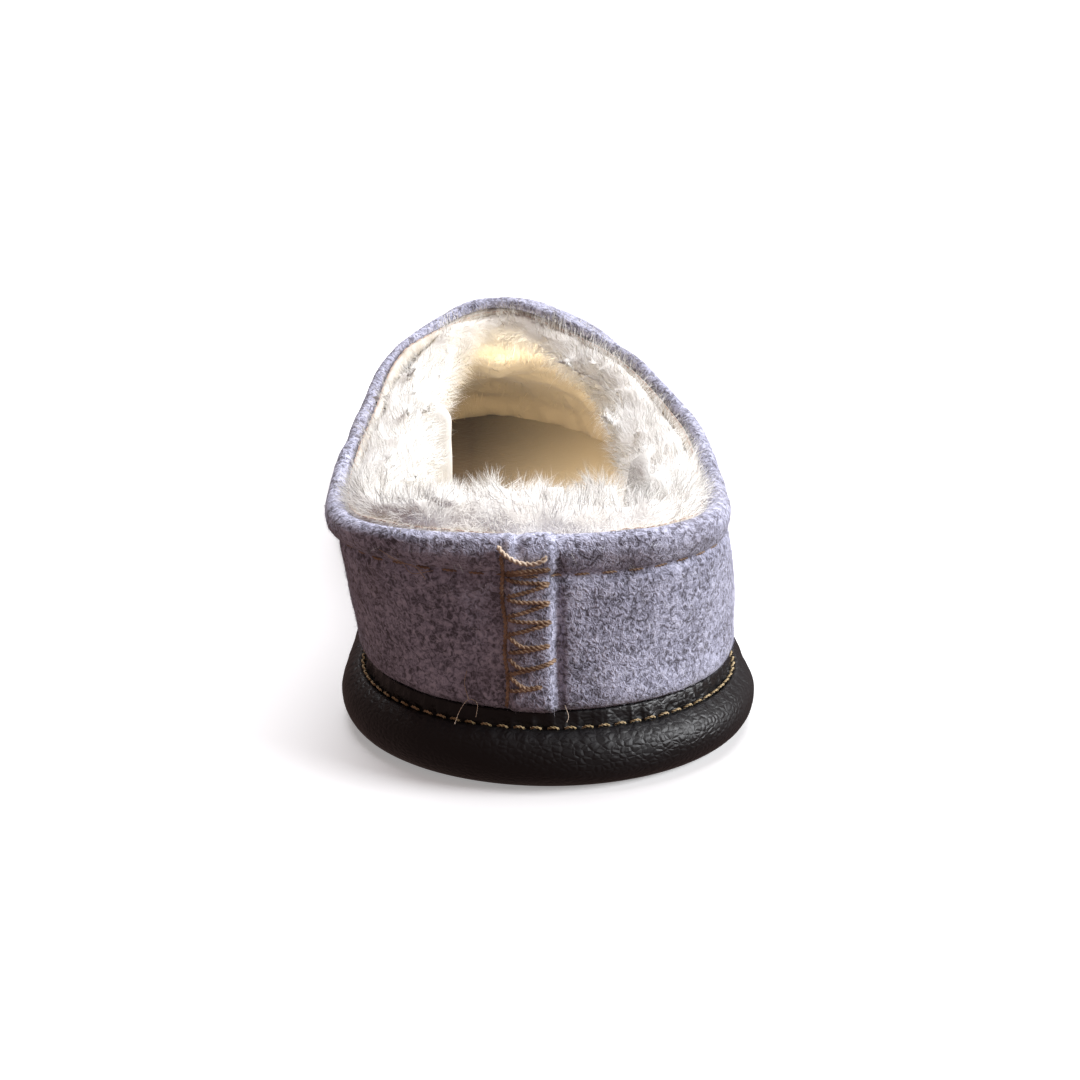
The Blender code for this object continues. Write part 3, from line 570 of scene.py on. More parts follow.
def new_mesh(name, points, faces, look, normals=None):
    """A smooth-shaded piece, riding on the one body. faces is an array, or a list with one for each size."""
    groups = faces if isinstance(faces, list) else [faces]
    groups = [np.asarray(group, np.int32) for group in groups if len(group)]
    loops = np.concatenate([group.reshape(-1) for group in groups])
    sizes = np.concatenate([np.full(len(group), group.shape[1], np.int32) for group in groups])
    mesh = bpy.data.meshes.new(name)
    mesh.vertices.add(len(points))
    mesh.vertices.foreach_set("co", (np.asarray(points) - np.array(ORIGIN)).astype(np.float32).reshape(-1))
    mesh.loops.add(len(loops))
    mesh.loops.foreach_set("vertex_index", loops)
    mesh.polygons.add(len(sizes))
    mesh.polygons.foreach_set("loop_start", np.concatenate([[0], np.cumsum(sizes)[:-1]]).astype(np.int32))
    mesh.update(calc_edges=True)
    mesh.validate()
    mesh.shade_smooth()
    if normals is not None:
        mesh.normals_split_custom_set_from_vertices(normals.tolist())
    mesh.materials.append(look)
    made = placed(name, mesh)
    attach(made, "root")
    return made


def ring_faces(one, other):
    """Faces between two closed rings of point numbers."""
    one, other = np.asarray(one), np.asarray(other)
    return np.stack([one, np.roll(one, -1), np.roll(other, -1), other], axis=-1)


def hoop_faces(size, count, joined=False):
    """Faces of rings stacked one after another: count rings of size points."""
    numbers = [k * size + np.arange(size) for k in range(count)]
    pairs = list(zip(numbers, numbers[1:])) + ([(numbers[-1], numbers[0])] if joined else [])
    return np.concatenate([ring_faces(one, other) for one, other in pairs])


def make_felt(wall, look):
    """The felt upper: outer face with its relief, the rolled hem over the rim and the inner face."""
    relief = felt_relief(wall)
    outer = wall.points + wall.normals * relief[:, None]
    notch = 0.0011 * np.exp(-(((wall.back + 0.0022) / 0.0012) ** 2)) * (wall.points[:, 1] < HEEL_ROUND / 2)
    outer[:, 2] -= notch * np.exp(-((wall.gap / 0.003) ** 2))
    folded = rim_depth(wall.points)
    depth = folded + (FELT - folded) * ease(wall.gap, 0.80 * HEM_DEPTH, 1.10 * HEM_DEPTH)
    inner = wall.points - wall.normals * depth[:, None]
    inner[wall.foot, 2] = FELT_FOOT + spring(inner[wall.foot, 1])
    _, _, off = rim_frame(wall)
    start, end = outer[wall.rim], inner[wall.rim]
    middle, radius = (start + end) / 2, np.linalg.norm(start - end, axis=1)[:, None] / 2
    rings = []
    for degrees in (25, 50, 75, 100, 125, 150):
        angle = math.radians(degrees)
        ring = middle + radius * (math.cos(angle) * unit(start - end) + math.sin(angle) * off)
        rings.append(ring + off * (0.00022 * bumps(ring, 0.006, 4.4))[:, None])
    count = len(wall.points)
    numbers = [wall.rim] + [2 * count + k * len(wall.rim) + np.arange(len(wall.rim)) for k in range(6)]
    numbers.append(wall.rim + count)
    roll = np.concatenate([ring_faces(a, b) for a, b in zip(numbers, numbers[1:])])
    faces = [wall.faces, wall.faces[:, ::-1] + count, ring_faces(wall.foot, wall.foot + count), roll[:, ::-1]]
    points = np.concatenate([outer, inner, *rings])
    felt = new_mesh("felt_wall", points, np.concatenate(faces), look)
    tidy_normals(felt)
    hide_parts("felt_upper")
    return outer


def tidy_normals(piece):
    """The faces of a closed mesh turned outwards, with doubled corners dropped."""
    shape = bmesh.new()
    shape.from_mesh(piece.data)
    bmesh.ops.dissolve_degenerate(shape, dist=1e-7, edges=shape.edges)
    bmesh.ops.recalc_face_normals(shape, faces=shape.faces)
    shape.to_mesh(piece.data)
    shape.free()
    piece.data.shade_smooth()


def pick_on(points, faces, weights, count, random):
    """Random places on a mesh of triangles or quads, and the normal at each."""
    corners = points[faces]
    crossed = np.cross(corners[:, 2] - corners[:, 0], corners[:, -1] - corners[:, 1])
    area = np.linalg.norm(crossed, axis=1) * weights
    face = random.choice(len(faces), size=count, p=area / area.sum())
    u, v = random.random((2, count, 1))
    if faces.shape[1] == 4:
        c = corners[face]
        spots = (c[:, 0] * (1 - u) + c[:, 1] * u) * (1 - v) + (c[:, 3] * (1 - u) + c[:, 2] * u) * v
    else:
        over = (u + v) > 1
        u, v = np.where(over, 1 - u, u), np.where(over, 1 - v, v)
        c = corners[face]
        spots = c[:, 0] + (c[:, 1] - c[:, 0]) * u + (c[:, 2] - c[:, 0]) * v
    return spots, unit(crossed)[face]


def hair_mesh(name, lines, widths, look, normals, random):
    """Thin tapered ribbons along the given lines: lines is hairs x points x 3, widths one for each hair."""
    hairs, steps = lines.shape[:2]
    ahead = unit(np.gradient(lines, axis=1))
    facing = normals[:, None] + 0.35 * random.normal(size=(hairs, 1, 3))
    across = unit(np.cross(facing, ahead))
    taper = np.linspace(1.0, 0.55, steps - 1)[None, :, None]
    half = across[:, :-1] * widths[:, None, None] * taper / 2
    left, right = lines[:, :-1] - half, lines[:, :-1] + half
    points = np.concatenate([left, right, lines[:, -1:]], axis=1)
    per = 2 * (steps - 1) + 1
    first = np.arange(hairs)[:, None] * per
    quads = [first + np.array([[k, k + 1, k + steps, k + steps - 1]]) for k in range(steps - 2)]
    tips = first + np.array([[steps - 2, per - 1, per - 2]])
    shading = np.repeat(normals, per, axis=0)
    made = new_mesh(name, points.reshape(-1, 3), [np.concatenate(quads), tips], look, shading)
    made.visible_shadow = False
    made.visible_diffuse = False
    return made


def clumped(lines, every, pull, random):
    """Hairs lean their tips towards the tip of the nearest leading hair, as wool does in locks."""
    leaders = random.choice(len(lines), size=max(1, len(lines) // every), replace=False)
    tree = KDTree(len(leaders))
    for n, leader in enumerate(leaders):
        tree.insert(lines[leader, 0], n)
    tree.balance()
    nearest = leaders[[tree.find(root)[1] for root in lines[:, 0]]]
    t = np.linspace(0, 1, lines.shape[1])[None, :, None]
    shift = (lines[nearest, -1] - lines[:, -1])[:, None, :]
    return lines + shift * pull * t**1.6


def grown(roots, ways, lengths, steps, bend, random):
    """Hairs from their roots: each goes its own way and bends to one side."""
    t = np.linspace(0, 1, steps)[None, :, None]
    side = unit(random.normal(size=roots.shape))
    curl = unit(random.normal(size=roots.shape))
    reach = lengths[:, None, None]
    lines = roots[:, None] + ways[:, None] * reach * t
    lines += side[:, None] * reach * bend * t**2
    return lines + curl[:, None] * reach * 0.10 * np.sin(t * math.pi * 1.5)


def pile_surface(frame):
    """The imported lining's own shape, remeshed and relaxed until its locks are gone: points and faces."""
    source = frame["nodes"]["fur_lining"]
    copy = placed("pile_shape", source.data.copy())
    remesh = copy.modifiers.new("remesh", "REMESH")
    remesh.mode = "VOXEL"
    remesh.voxel_size = PILE_VOXEL
    relax = copy.modifiers.new("relax", "SMOOTH")
    relax.factor = 0.5
    relax.iterations = PILE_RELAX_STEPS
    graph = bpy.context.evaluated_depsgraph_get()
    mesh = bpy.data.meshes.new_from_object(copy.evaluated_get(graph))
    bpy.data.objects.remove(copy)
    points = np.zeros(len(mesh.vertices) * 3)
    mesh.vertices.foreach_get("co", points)
    points = points.reshape(-1, 3) + np.array(ORIGIN)
    faces = np.array([tuple(f.vertices) for f in mesh.polygons if len(f.vertices) == 4])
    bpy.data.meshes.remove(mesh)
    return points, faces


def make_pile(frame, wall, look):
    """The shearling's body: the lining's inner face and crest, lumpy, below the tips of its hairs.

    Near the rim it is pushed outwards to meet the binding. What the felt hides is left out.
    """
    points, faces = pile_surface(frame)
    normals = face_normals_at(points, faces)
    tree = wall.tree(wall.points)
    face_gap = wall.gap[wall.faces].mean(axis=1)
    facing, behind = np.zeros(len(points)), np.zeros(len(points), bool)
    outwards = np.zeros_like(points)
    for n, (point, way) in enumerate(zip(points, normals)):
        _, out, face, away = tree.find_nearest(Vector(point))
        facing[n] = way @ np.array(out)
        behind[n] = face_gap[face] > 0.0025 and away < 0.0075
        near_rim = (1 - ease(face_gap[face], 0.002, 0.012)) * (1 - ease(away, 0.0065, 0.0160))
        inner = (point[0] < -0.012) * (1 - ease(point[1], 0.100, 0.110))
        shifted = ease(point[1], 0.066, 0.088) * (1.0 + inner)
        outwards[n] = np.array(out) * (0.0015 + 0.0011 * shifted) * near_rim
    hidden = (facing > 0.55) & behind
    keep = ~hidden[faces].all(axis=1)
    inwards = ease(-facing, -0.5, 0.4)
    cover = PILE_COVER * (0.65 + 0.35 * (1 - ease(points[:, 1], 0.09, 0.13)))
    cover += 0.0026 * (1 - ease(points[:, 1], 0.026, 0.050)) * ease(points[:, 2], 0.040, 0.050)
    cover += 0.0014 * (1 - ease(points[:, 1], 0.020, 0.060)) * ease(points[:, 2], 0.044, 0.052)
    cover *= ease(points[:, 2] - spring(points[:, 1]), 0.0172, 0.0230)
    sunk = points + outwards - normals * (cover * inwards)[:, None]
    sunk[:, 1] -= TOE_FILL * ease(points[:, 1], 0.185, 0.235) * inwards
    sunk += normals * (0.0006 * bumps(points, 0.0045, 9.0) + 0.0009 * bumps(points, 0.011, 7.0))[:, None]
    used, index = np.unique(faces[keep], return_inverse=True)
    sunk, normals = sunk[used], normals[used]
    pile = new_mesh("pile_body", sunk, index.reshape(-1, 4), look)
    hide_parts("fur_lining")
    return sunk, index.reshape(-1, 4)


def make_pile_edge(look):
    """The cut edge of the heel's shearling on the inner side, which stands up as a pale band."""
    section = np.array(PILE_EDGE) / 1000
    rings = []
    for height in np.linspace(0.0178, 0.0605, 40):
        ring = np.concatenate([section, np.full((len(section), 1), height)], axis=1)
        ring[:, 0] -= 0.0080 * ease(height, 0.053, 0.0612) ** 2 + 0.0012 * (1 - ease(height, 0.020, 0.034))
        ring += 0.00035 * three_bumps(ring, 0.006, 4.0, 5.0, 6.0) * [1, 1, 0]
        rings.append(ring)
    size, points = len(section), np.concatenate(rings)
    caps = cap_faces(points[:size], 0) + cap_faces(points[-size:], len(points) - size)
    edge = new_mesh("pile_edge", points, [hoop_faces(size, len(rings)), np.array(caps)], look)
    tidy_normals(edge)
    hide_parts("fur_lining")


def make_pile_hairs(points, faces, look):
    """The hairs of the shearling, in three pieces: round the heel, along the sides and inside the toe."""
    middle = points[faces].mean(axis=1)
    along, height = middle[:, 1], middle[:, 2] - FELT_FOOT
    top = ease(height, 0.006, 0.020)
    first, last = PILE_HAIR_BOUNDS
    shares = (
        (along < first) * (0.12 + 0.88 * top),
        (along >= first) * (along < last) * (0.15 + 0.85 * top),
        (along >= last) * (0.02 + 0.98 * (1 - ease(along, 0.125, 0.165))),
    )
    for seed, (weights, (name, hairs, length, width, steps)) in enumerate(zip(shares, PILE_HAIRS)):
        random = np.random.default_rng(30 + seed)
        roots, normals = pick_on(points, faces, weights, hairs, random)
        up = np.array([0.0, 0.0, 1.0])
        lift = ease(roots[:, 2], 0.030, 0.048)[:, None] * (1 - ease(normals[:, 2:], 0.2, 0.7))
        sweep = three_bumps(roots, 0.007, 11.0, 12.0, 13.0)
        ways = unit(normals + up * 0.30 * lift + 0.95 * sweep + 0.38 * random.normal(size=roots.shape))
        lengths = length * random.uniform(0.55, 1.15, hairs)
        lengths *= 1 + 0.45 * (random.uniform(0, 1, hairs) < 0.06)
        lines = grown(roots, ways, lengths, steps, 0.30, random)
        lines = clumped(lines, 9, 0.42, random)
        shading = unit(normals * 0.40 + ways * 0.12 + up * 0.80)
        piece = hair_mesh(name, lines, width * random.uniform(0.7, 1.2, hairs), look, shading, random)
        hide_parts("fur_lining")


def make_insole_hairs(frame, look):
    """Short pile on the rear of the insole. Further in, where the opening is dark, it has none."""
    source = frame["nodes"]["insole"].data
    points = np.array([v.co[:] for v in source.vertices]) + np.array(ORIGIN)
    source.calc_loop_triangles()
    faces = np.array([tuple(t.vertices) for t in source.loop_triangles])
    one, two, three = (points[faces[:, k]] for k in range(3))
    faces = faces[unit(np.cross(two - one, three - one))[:, 2] > 0.25]
    random = np.random.default_rng(51)
    seen = 1 - ease(points[faces].mean(axis=1)[:, 1], 0.085, 0.115)
    roots, _ = pick_on(points, faces, seen + 0.001, INSOLE_HAIRS, random)
    up = np.tile([0.0, 0.0, 1.0], (INSOLE_HAIRS, 1))
    sweep = three_bumps(roots, 0.012, 21.0, 22.0, 23.0)
    ways = unit(up + 1.1 * sweep + 0.45 * random.normal(size=roots.shape))
    ways[:, 2] = np.abs(ways[:, 2])
    lengths = INSOLE_HAIR_LENGTH * random.uniform(0.6, 1.2, INSOLE_HAIRS)
    lines = grown(roots, ways, lengths, 3, 0.3, random)
    lines = clumped(lines, 12, 0.5, random)
    widths = INSOLE_HAIR_WIDTH * random.uniform(0.7, 1.2, INSOLE_HAIRS)
    piece = hair_mesh("insole_hairs", lines, widths, look, unit(up + 0.05 * ways), random)


def make_nap(wall, outer, look):
    """The felt's nap: fine curled wool hairs all over its outer face and its rolled rim."""
    random = np.random.default_rng(77)
    roots, normals = pick_on(outer, wall.faces, np.ones(len(wall.faces)), NAP_HAIRS, random)
    normals = normals * np.sign(np.sum(normals * (roots - outer.mean(axis=0)), axis=1))[:, None]
    ways = unit(random.normal(size=roots.shape) + 0.25 * normals)
    ways = unit(ways - normals * np.sum(ways * normals, axis=1)[:, None] + 0.35 * normals)
    lengths = random.uniform(*NAP_LENGTHS, NAP_HAIRS)[:, None, None]
    t = np.linspace(0, 1, 3)[None, :, None]
    turn = unit(np.cross(ways, normals))
    swirl = random.uniform(-1.0, 1.0, (NAP_HAIRS, 1, 1))
    lines = roots[:, None] + ways[:, None] * lengths * t
    lines += turn[:, None] * lengths * swirl * t**2
    lines -= normals[:, None] * lengths * 0.30 * t**2
    widths = random.uniform(*NAP_WIDTHS, NAP_HAIRS)
    piece = hair_mesh("felt_nap", lines, widths, look, unit(normals + 0.3 * ways), random)


def outline_ring(step):
    """A closed ring round the sole at even steps: points, the way outwards at each and the arc length."""
    turns = np.linspace(0, math.pi, 1400)
    left, right = (on_plan(outline(side, turns), 0.0) for side in (-1, 1))
    ring = closed(np.concatenate([left, right[-2:0:-1]]))
    arc = arc_length(ring)
    at = np.linspace(0, arc[-1], int(round(arc[-1] / step)), endpoint=False)
    even = read_off(at, arc, ring)
    ahead = unit(np.roll(even, -1, axis=0) - np.roll(even, 1, axis=0))
    out = unit(np.cross(ahead, [0.0, 0.0, 1.0]))
    out *= -np.sign(np.sum(out[:, :2] * (even.mean(axis=0) - even)[:, :2], axis=1))[:, None]
    return even, out, at


def make_sole(look):
    """The padded sole: its leather roll, slightly quilted by the stitches, and its flat underside."""
    base, out, at = outline_ring(0.00075)
    radius = ROLL_HEIGHT / 2
    reach = EDGE_BULGE + 0.0006
    pull = 0.5 + 0.5 * np.cos(2 * math.pi * at / TOPSTITCH_PITCH)
    rings = []
    for degrees in np.linspace(74, -76, 26):
        angle = math.radians(degrees)
        near_seam = ease(math.sin(angle), 0.45, 0.96)
        inset = reach * (1 - math.cos(angle)) + 0.00022 * near_seam * pull
        ring = base - out * inset[:, None]
        height = radius * (1 + math.sin(angle))
        lifted = ring + [0, 0, height]
        soft = 0.00022 * bumps(lifted, 0.012, 2.0) + 0.00012 * bumps(lifted, 0.005, 6.0)
        soft *= ease(height, 0.0005, 0.004)
        ring = ring + out * (soft * math.cos(angle))[:, None]
        ring[:, 2] += height - 0.00012 * near_seam * pull + soft * math.sin(angle)
        rings.append(ring)
    lip = ((0.0016, -0.0002), (0.0002, 0.0001))
    top = [base - out * (EDGE_BULGE + inset) + [0, 0, SEAM_HEIGHT + height] for inset, height in lip]
    under = []
    for inset in (SOLE_FLAT_EDGE, 0.012, 0.018, 0.026):
        ring = base - out * inset
        ring[:, 2] = spring(ring[:, 1])
        under.append(ring)
    rings = top + rings + under
    for ring in rings[-9:]:
        flat = 1 - ease(ring[:, 2] - spring(ring[:, 1]), 0.0, radius)
        ring[:, 2] += flat * waist(ring[:, 1], ring[:, 0])
    size = len(base)
    faces = hoop_faces(size, len(rings))
    points = np.concatenate(rings)
    caps = cap_faces(points[-size:], len(points) - size) + cap_faces(points[:size], 0)
    sole = new_mesh("sole_roll", points, [faces, np.array(caps)], look)
    tidy_normals(sole)
    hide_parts("padded_sole")


def cap_faces(ring, first):
    """A flat cap over a closed ring that starts at the heel: quads between its two sides."""
    size = len(ring)
    far = int(np.argmax(ring[:, 1]))
    left = np.arange(far + 1)
    right = (size - np.round(np.linspace(0, size - far, far + 1)).astype(int)) % size
    return (first + np.stack([left[:-1], left[1:], right[1:], right[:-1]], axis=-1)).tolist()


def make_rand(look):
    """The rand: a leather strip gathered into small upright pleats between the felt and the roll."""
    base, out, at = outline_ring(0.00042)
    size = len(base)
    length = at[-1] + at[1]
    angle = 2 * math.pi * at / length
    loop = np.stack([np.cos(angle), np.sin(angle), np.zeros(size)], axis=-1) * length / (2 * math.pi)
    pleat = 1.5 * np.abs(bumps(loop, 0.0036, 3.0)) ** 0.7 + 0.6 * np.abs(bumps(loop, 0.0017, 14.0))
    fold = 1 - np.clip(pleat, 0, 1)
    rows = []
    for t in np.linspace(0, 1, 10):
        inset = EDGE_BULGE + 0.0002 + (RAND_LEAN - 0.0002) * t**1.3
        height = RAND_FOOT - 0.0004 + (RAND_HEIGHT + 0.0006) * t
        shift = loop + np.array([0, 0, 0.006 * t])
        crinkle = 0.6 * bumps(shift, 0.0022, 19.0)
        swell = 0.45 + 0.55 * math.sin(math.pi * min(1.0, t + 0.22))
        push = PLEAT_DEPTH * (0.55 * fold + 0.35 * crinkle - 0.35) * swell
        ring = base - out * (inset - push)[:, None]
        ring[:, 2] += height
        rows.append(ring)
    for inset, height in ((EDGE_BULGE + RAND_WIDTH, RAND_HEIGHT), (EDGE_BULGE + RAND_WIDTH, 0.0)):
        ring = base - out * inset
        ring[:, 2] += RAND_FOOT + height
        rows.append(ring)
    rand = new_mesh("rand_gathers", np.concatenate(rows), hoop_faces(size, len(rows), joined=True), look)
    tidy_normals(rand)
    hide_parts("leather_rand")


def make_thread(name, paths, radius, twist, rings, look, sides=5):
    """A piece of two-ply thread along each path. paths is a list of point rows."""
    all_points, all_faces, first = [], [], 0
    for path in paths:
        path = np.asarray(path, float)
        arc = arc_length(path)
        count = max(rings, int(arc[-1] / (radius * 1.1)))
        at = np.linspace(0, arc[-1], count)
        middle = read_off(at, arc, path)
        ahead = unit(np.gradient(middle, axis=0))
        other = unit(np.cross(ahead, [0.13, 0.31, 0.94]))
        third = np.cross(ahead, other)
        taper = np.clip(np.minimum(at, arc[-1] - at) / (1.2 * radius), 0.25, 1.0)[:, None]
        for ply in (0.0, math.pi):
            turn = ply + 2 * math.pi * at / twist
            core = middle + 0.52 * radius * (np.cos(turn)[:, None] * other + np.sin(turn)[:, None] * third)
            around = (2 * math.pi * np.arange(sides) / sides)[None, :, None]
            ring = np.cos(around) * other[:, None] + np.sin(around) * third[:, None]
            points = core[:, None] + ring * 0.62 * radius * taper[:, None]
            all_points.append(points.reshape(-1, 3))
            all_faces.append(hoop_faces(sides, count) + first)
            first += count * sides
    return new_mesh(name, np.concatenate(all_points), np.concatenate(all_faces), look)


def stitch_row(line, out, arc, pitch, length, steps, random=None):
    """The stitches round a closed line: the points of each, and the way off the surface at each point.

    arc has one more value than line has points: the distance all the way round.
    """
    count = int(round(arc[-1] / pitch))
    for k in range(count):
        start = k * arc[-1] / count
        if random:
            start += random.uniform(-TOPSTITCH_JITTER, TOPSTITCH_JITTER)
        places = start + np.linspace(-0.5, 0.5, steps) * length
        spot, way = (read_off(places, arc[:-1], rows, arc[-1]) for rows in (line, out))
        yield spot, unit(way)


def arch_of(steps, power):
    """How high each point of a stitch stands, from 0 at its ends to 1."""
    return np.sin(np.linspace(0, math.pi, steps))[:, None] ** power


def make_topstitch(look):
    """The gold topstitch in the valley between the rand and the roll."""
    base, out, at = outline_ring(0.0002)
    arc = np.append(at, at[-1] + at[1])
    arch = arch_of(7, 0.6)
    lean = np.linspace(-1, 1, 7)[:, None] * 0.00014
    paths = []
    for spot, way in stitch_row(base, out, arc, TOPSTITCH_PITCH, TOPSTITCH_LENGTH, 7, np.random.default_rng(5)):
        spot = spot - way * (EDGE_BULGE + 0.00030 - 0.00055 * arch + lean)
        spot[:, 2] += ROLL_HEIGHT - 0.00055 + 0.00060 * arch[:, 0]
        paths.append(spot)
    piece = make_thread("topstitch", paths, TOPSTITCH_RADIUS, COARSE_TWIST, 7, look, sides=4)


def seam_place(tree, across, height, stand):
    """A place on the lapped back seam: across from the seam's middle and above the floor, standing off it."""
    share = (height - FELT_FOOT) / (HEEL_RIM_HEIGHT - FELT_FOOT)
    back = -SEAM_SHIFT + (-COLLAR_SHIFT + SEAM_SHIFT) * share
    held = min(max(height, FELT_FOOT + 0.0006), HEEL_RIM_HEIGHT - 0.0004)
    spot, _, _, _ = tree.ray_cast(Vector((back + across, -0.03, held)), Vector((0, 1, 0)))
    return np.array((spot.x, spot.y - stand, height))


def bent(places, steps=10):
    """A smooth path through a few places."""
    places = np.asarray(places, float)
    knots = np.arange(len(places))
    return smooth(knots, places, np.linspace(0, knots[-1], steps * (len(places) - 1) + 1))


def laid(tree, places, stand, count=16):
    """A thread's path over the felt, through places given as across and height in millimetres."""
    flat = bent(places, count)[:: max(1, (len(places) - 1))] / 1000
    return [seam_place(tree, across, height, stand) for across, height in flat]


def make_seam_threads(wall, outer, tan_look, loop_look):
    """The needlework down the heel: a backbone thread, the slanting stitches and a knotted loop on top."""
    tree = wall.tree(outer)
    edge = -500 * LAP_WIDTH - 0.4
    wander = 0.25 * np.sin(np.arange(10) * 1.9)
    across = edge - 0.6 * np.linspace(1, 0, 10) ** 2 + wander
    backbone = np.stack([across, np.linspace(46.2, 15.4, 10)], axis=-1)
    paths = [laid(tree, backbone, 0.00030)]
    for tip, reach, above, below, droop in SEAM_STITCHES:
        upper = [(edge + 0.4, tip + above), (edge + 3.2, tip + 0.4 * above - droop), (edge + reach, tip)]
        lower = [(edge + 0.4, tip - below), (edge + 3.8, tip - 0.65 * below), (edge + reach, tip - 0.1)]
        paths += [laid(tree, upper, 0.00022), laid(tree, lower, 0.00030)]
    piece = make_thread("seam_threads", paths, SEAM_THREAD_RADIUS, SEAM_TWIST, 8, tan_look)
    loop = [(-5.9, 48.6), (-5.0, 46.9), (-2.6, 45.4), (0.4, 44.9), (2.5, 45.7), (3.1, 46.6)]
    path = [seam_place(tree, a / 1000, min(h, 47.0) / 1000, 0.0007) for a, h in loop]
    path[0] = path[0] + [0, 0.0004, 0.0012]
    piece = make_thread("seam_loop", [bent(path)], LOOP_RADIUS, LOOP_TWIST, 8, loop_look, sides=6)


def make_loose_fibres(wall, outer, look):
    """A few loose hairs on the hem and one stray thread end over the rand, as in the photograph."""
    tree = wall.tree(outer)
    paths = [[seam_place(tree, a / 1000, h / 1000, d / 1000) for a, h, d in row] for row in LOOSE_FIBRES]
    paths = [bent(path) for path in paths]
    piece = make_thread("loose_fibres", paths, FIBRE_RADIUS, FIBRE_TWIST, 8, look, sides=3)


def make_hem_stitches(wall, outer, look):
    """The stitches that hold the collar's hem, sunk in its trough so that they show only in part."""
    line = outer[wall.hem]
    arc = arc_length(closed(line))
    arch = arch_of(7, 0.7)
    paths = []
    for spot, way in stitch_row(line, wall.normals[wall.hem], arc, HEM_STITCH_PITCH, HEM_STITCH_LENGTH, 7):
        sunk = 0.00020 + 0.00045 * ease(spot[:, 1:2], 0.050, 0.080)
        paths.append(spot + way * (0.00032 * arch - sunk))
    piece = make_thread("hem_stitches", paths, HEM_STITCH_RADIUS, COARSE_TWIST, 7, look, sides=4)


def rim_frame(wall):
    """The rim's points, the way out of the wall at each and the way up off the rim."""
    here = wall.points[wall.rim]
    along = unit(np.roll(here, -1, axis=0) - np.roll(here, 1, axis=0))
    out = wall.normals[wall.rim]
    off = unit(np.cross(out, along))
    return here, out, off * np.sign(off[0, 2])


def make_binding(wall, band_look, thread_look):
    """The cream skin edge between felt and pile, with its fine rose-tan stitching."""
    here, out, off = rim_frame(wall)
    start = rim_depth(here)[:, None] + 0.0001
    waver = 0.00025 * bumps(here, 0.005, 6.6)[:, None]
    thick = BINDING_THICKNESS + 0.0007
    section = (
        # share of the thickness inwards, height off the rim
        (0.0, -BINDING_DEPTH), (0.0, -0.0002), (0.25, 0.0006),
        (0.6, 0.0009), (1.0, 0.0004), (1.1, -BINDING_DEPTH),
    )
    rings = [here - out * (start + s * thick) + off * (h + waver) for s, h in section]
    faces = hoop_faces(len(here), len(rings), joined=True)
    band = new_mesh("binding_band", np.concatenate(rings), faces, band_look)
    tidy_normals(band)
    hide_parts("collar_binding")
    line = here - out * (start + 0.42 * thick) + off * (0.00088 + waver)
    arc = arc_length(closed(line))
    paths = []
    for spot, _ in stitch_row(line, out, arc, BINDING_STITCH_PITCH, BINDING_STITCH_LENGTH, 5):
        spot[:, 2:] += 0.00012 * arch_of(5, 1)
        paths.append(spot)
    piece = make_thread("binding_stitches", paths, BINDING_STITCH_RADIUS, FINE_TWIST, 5, thread_look, sides=4)


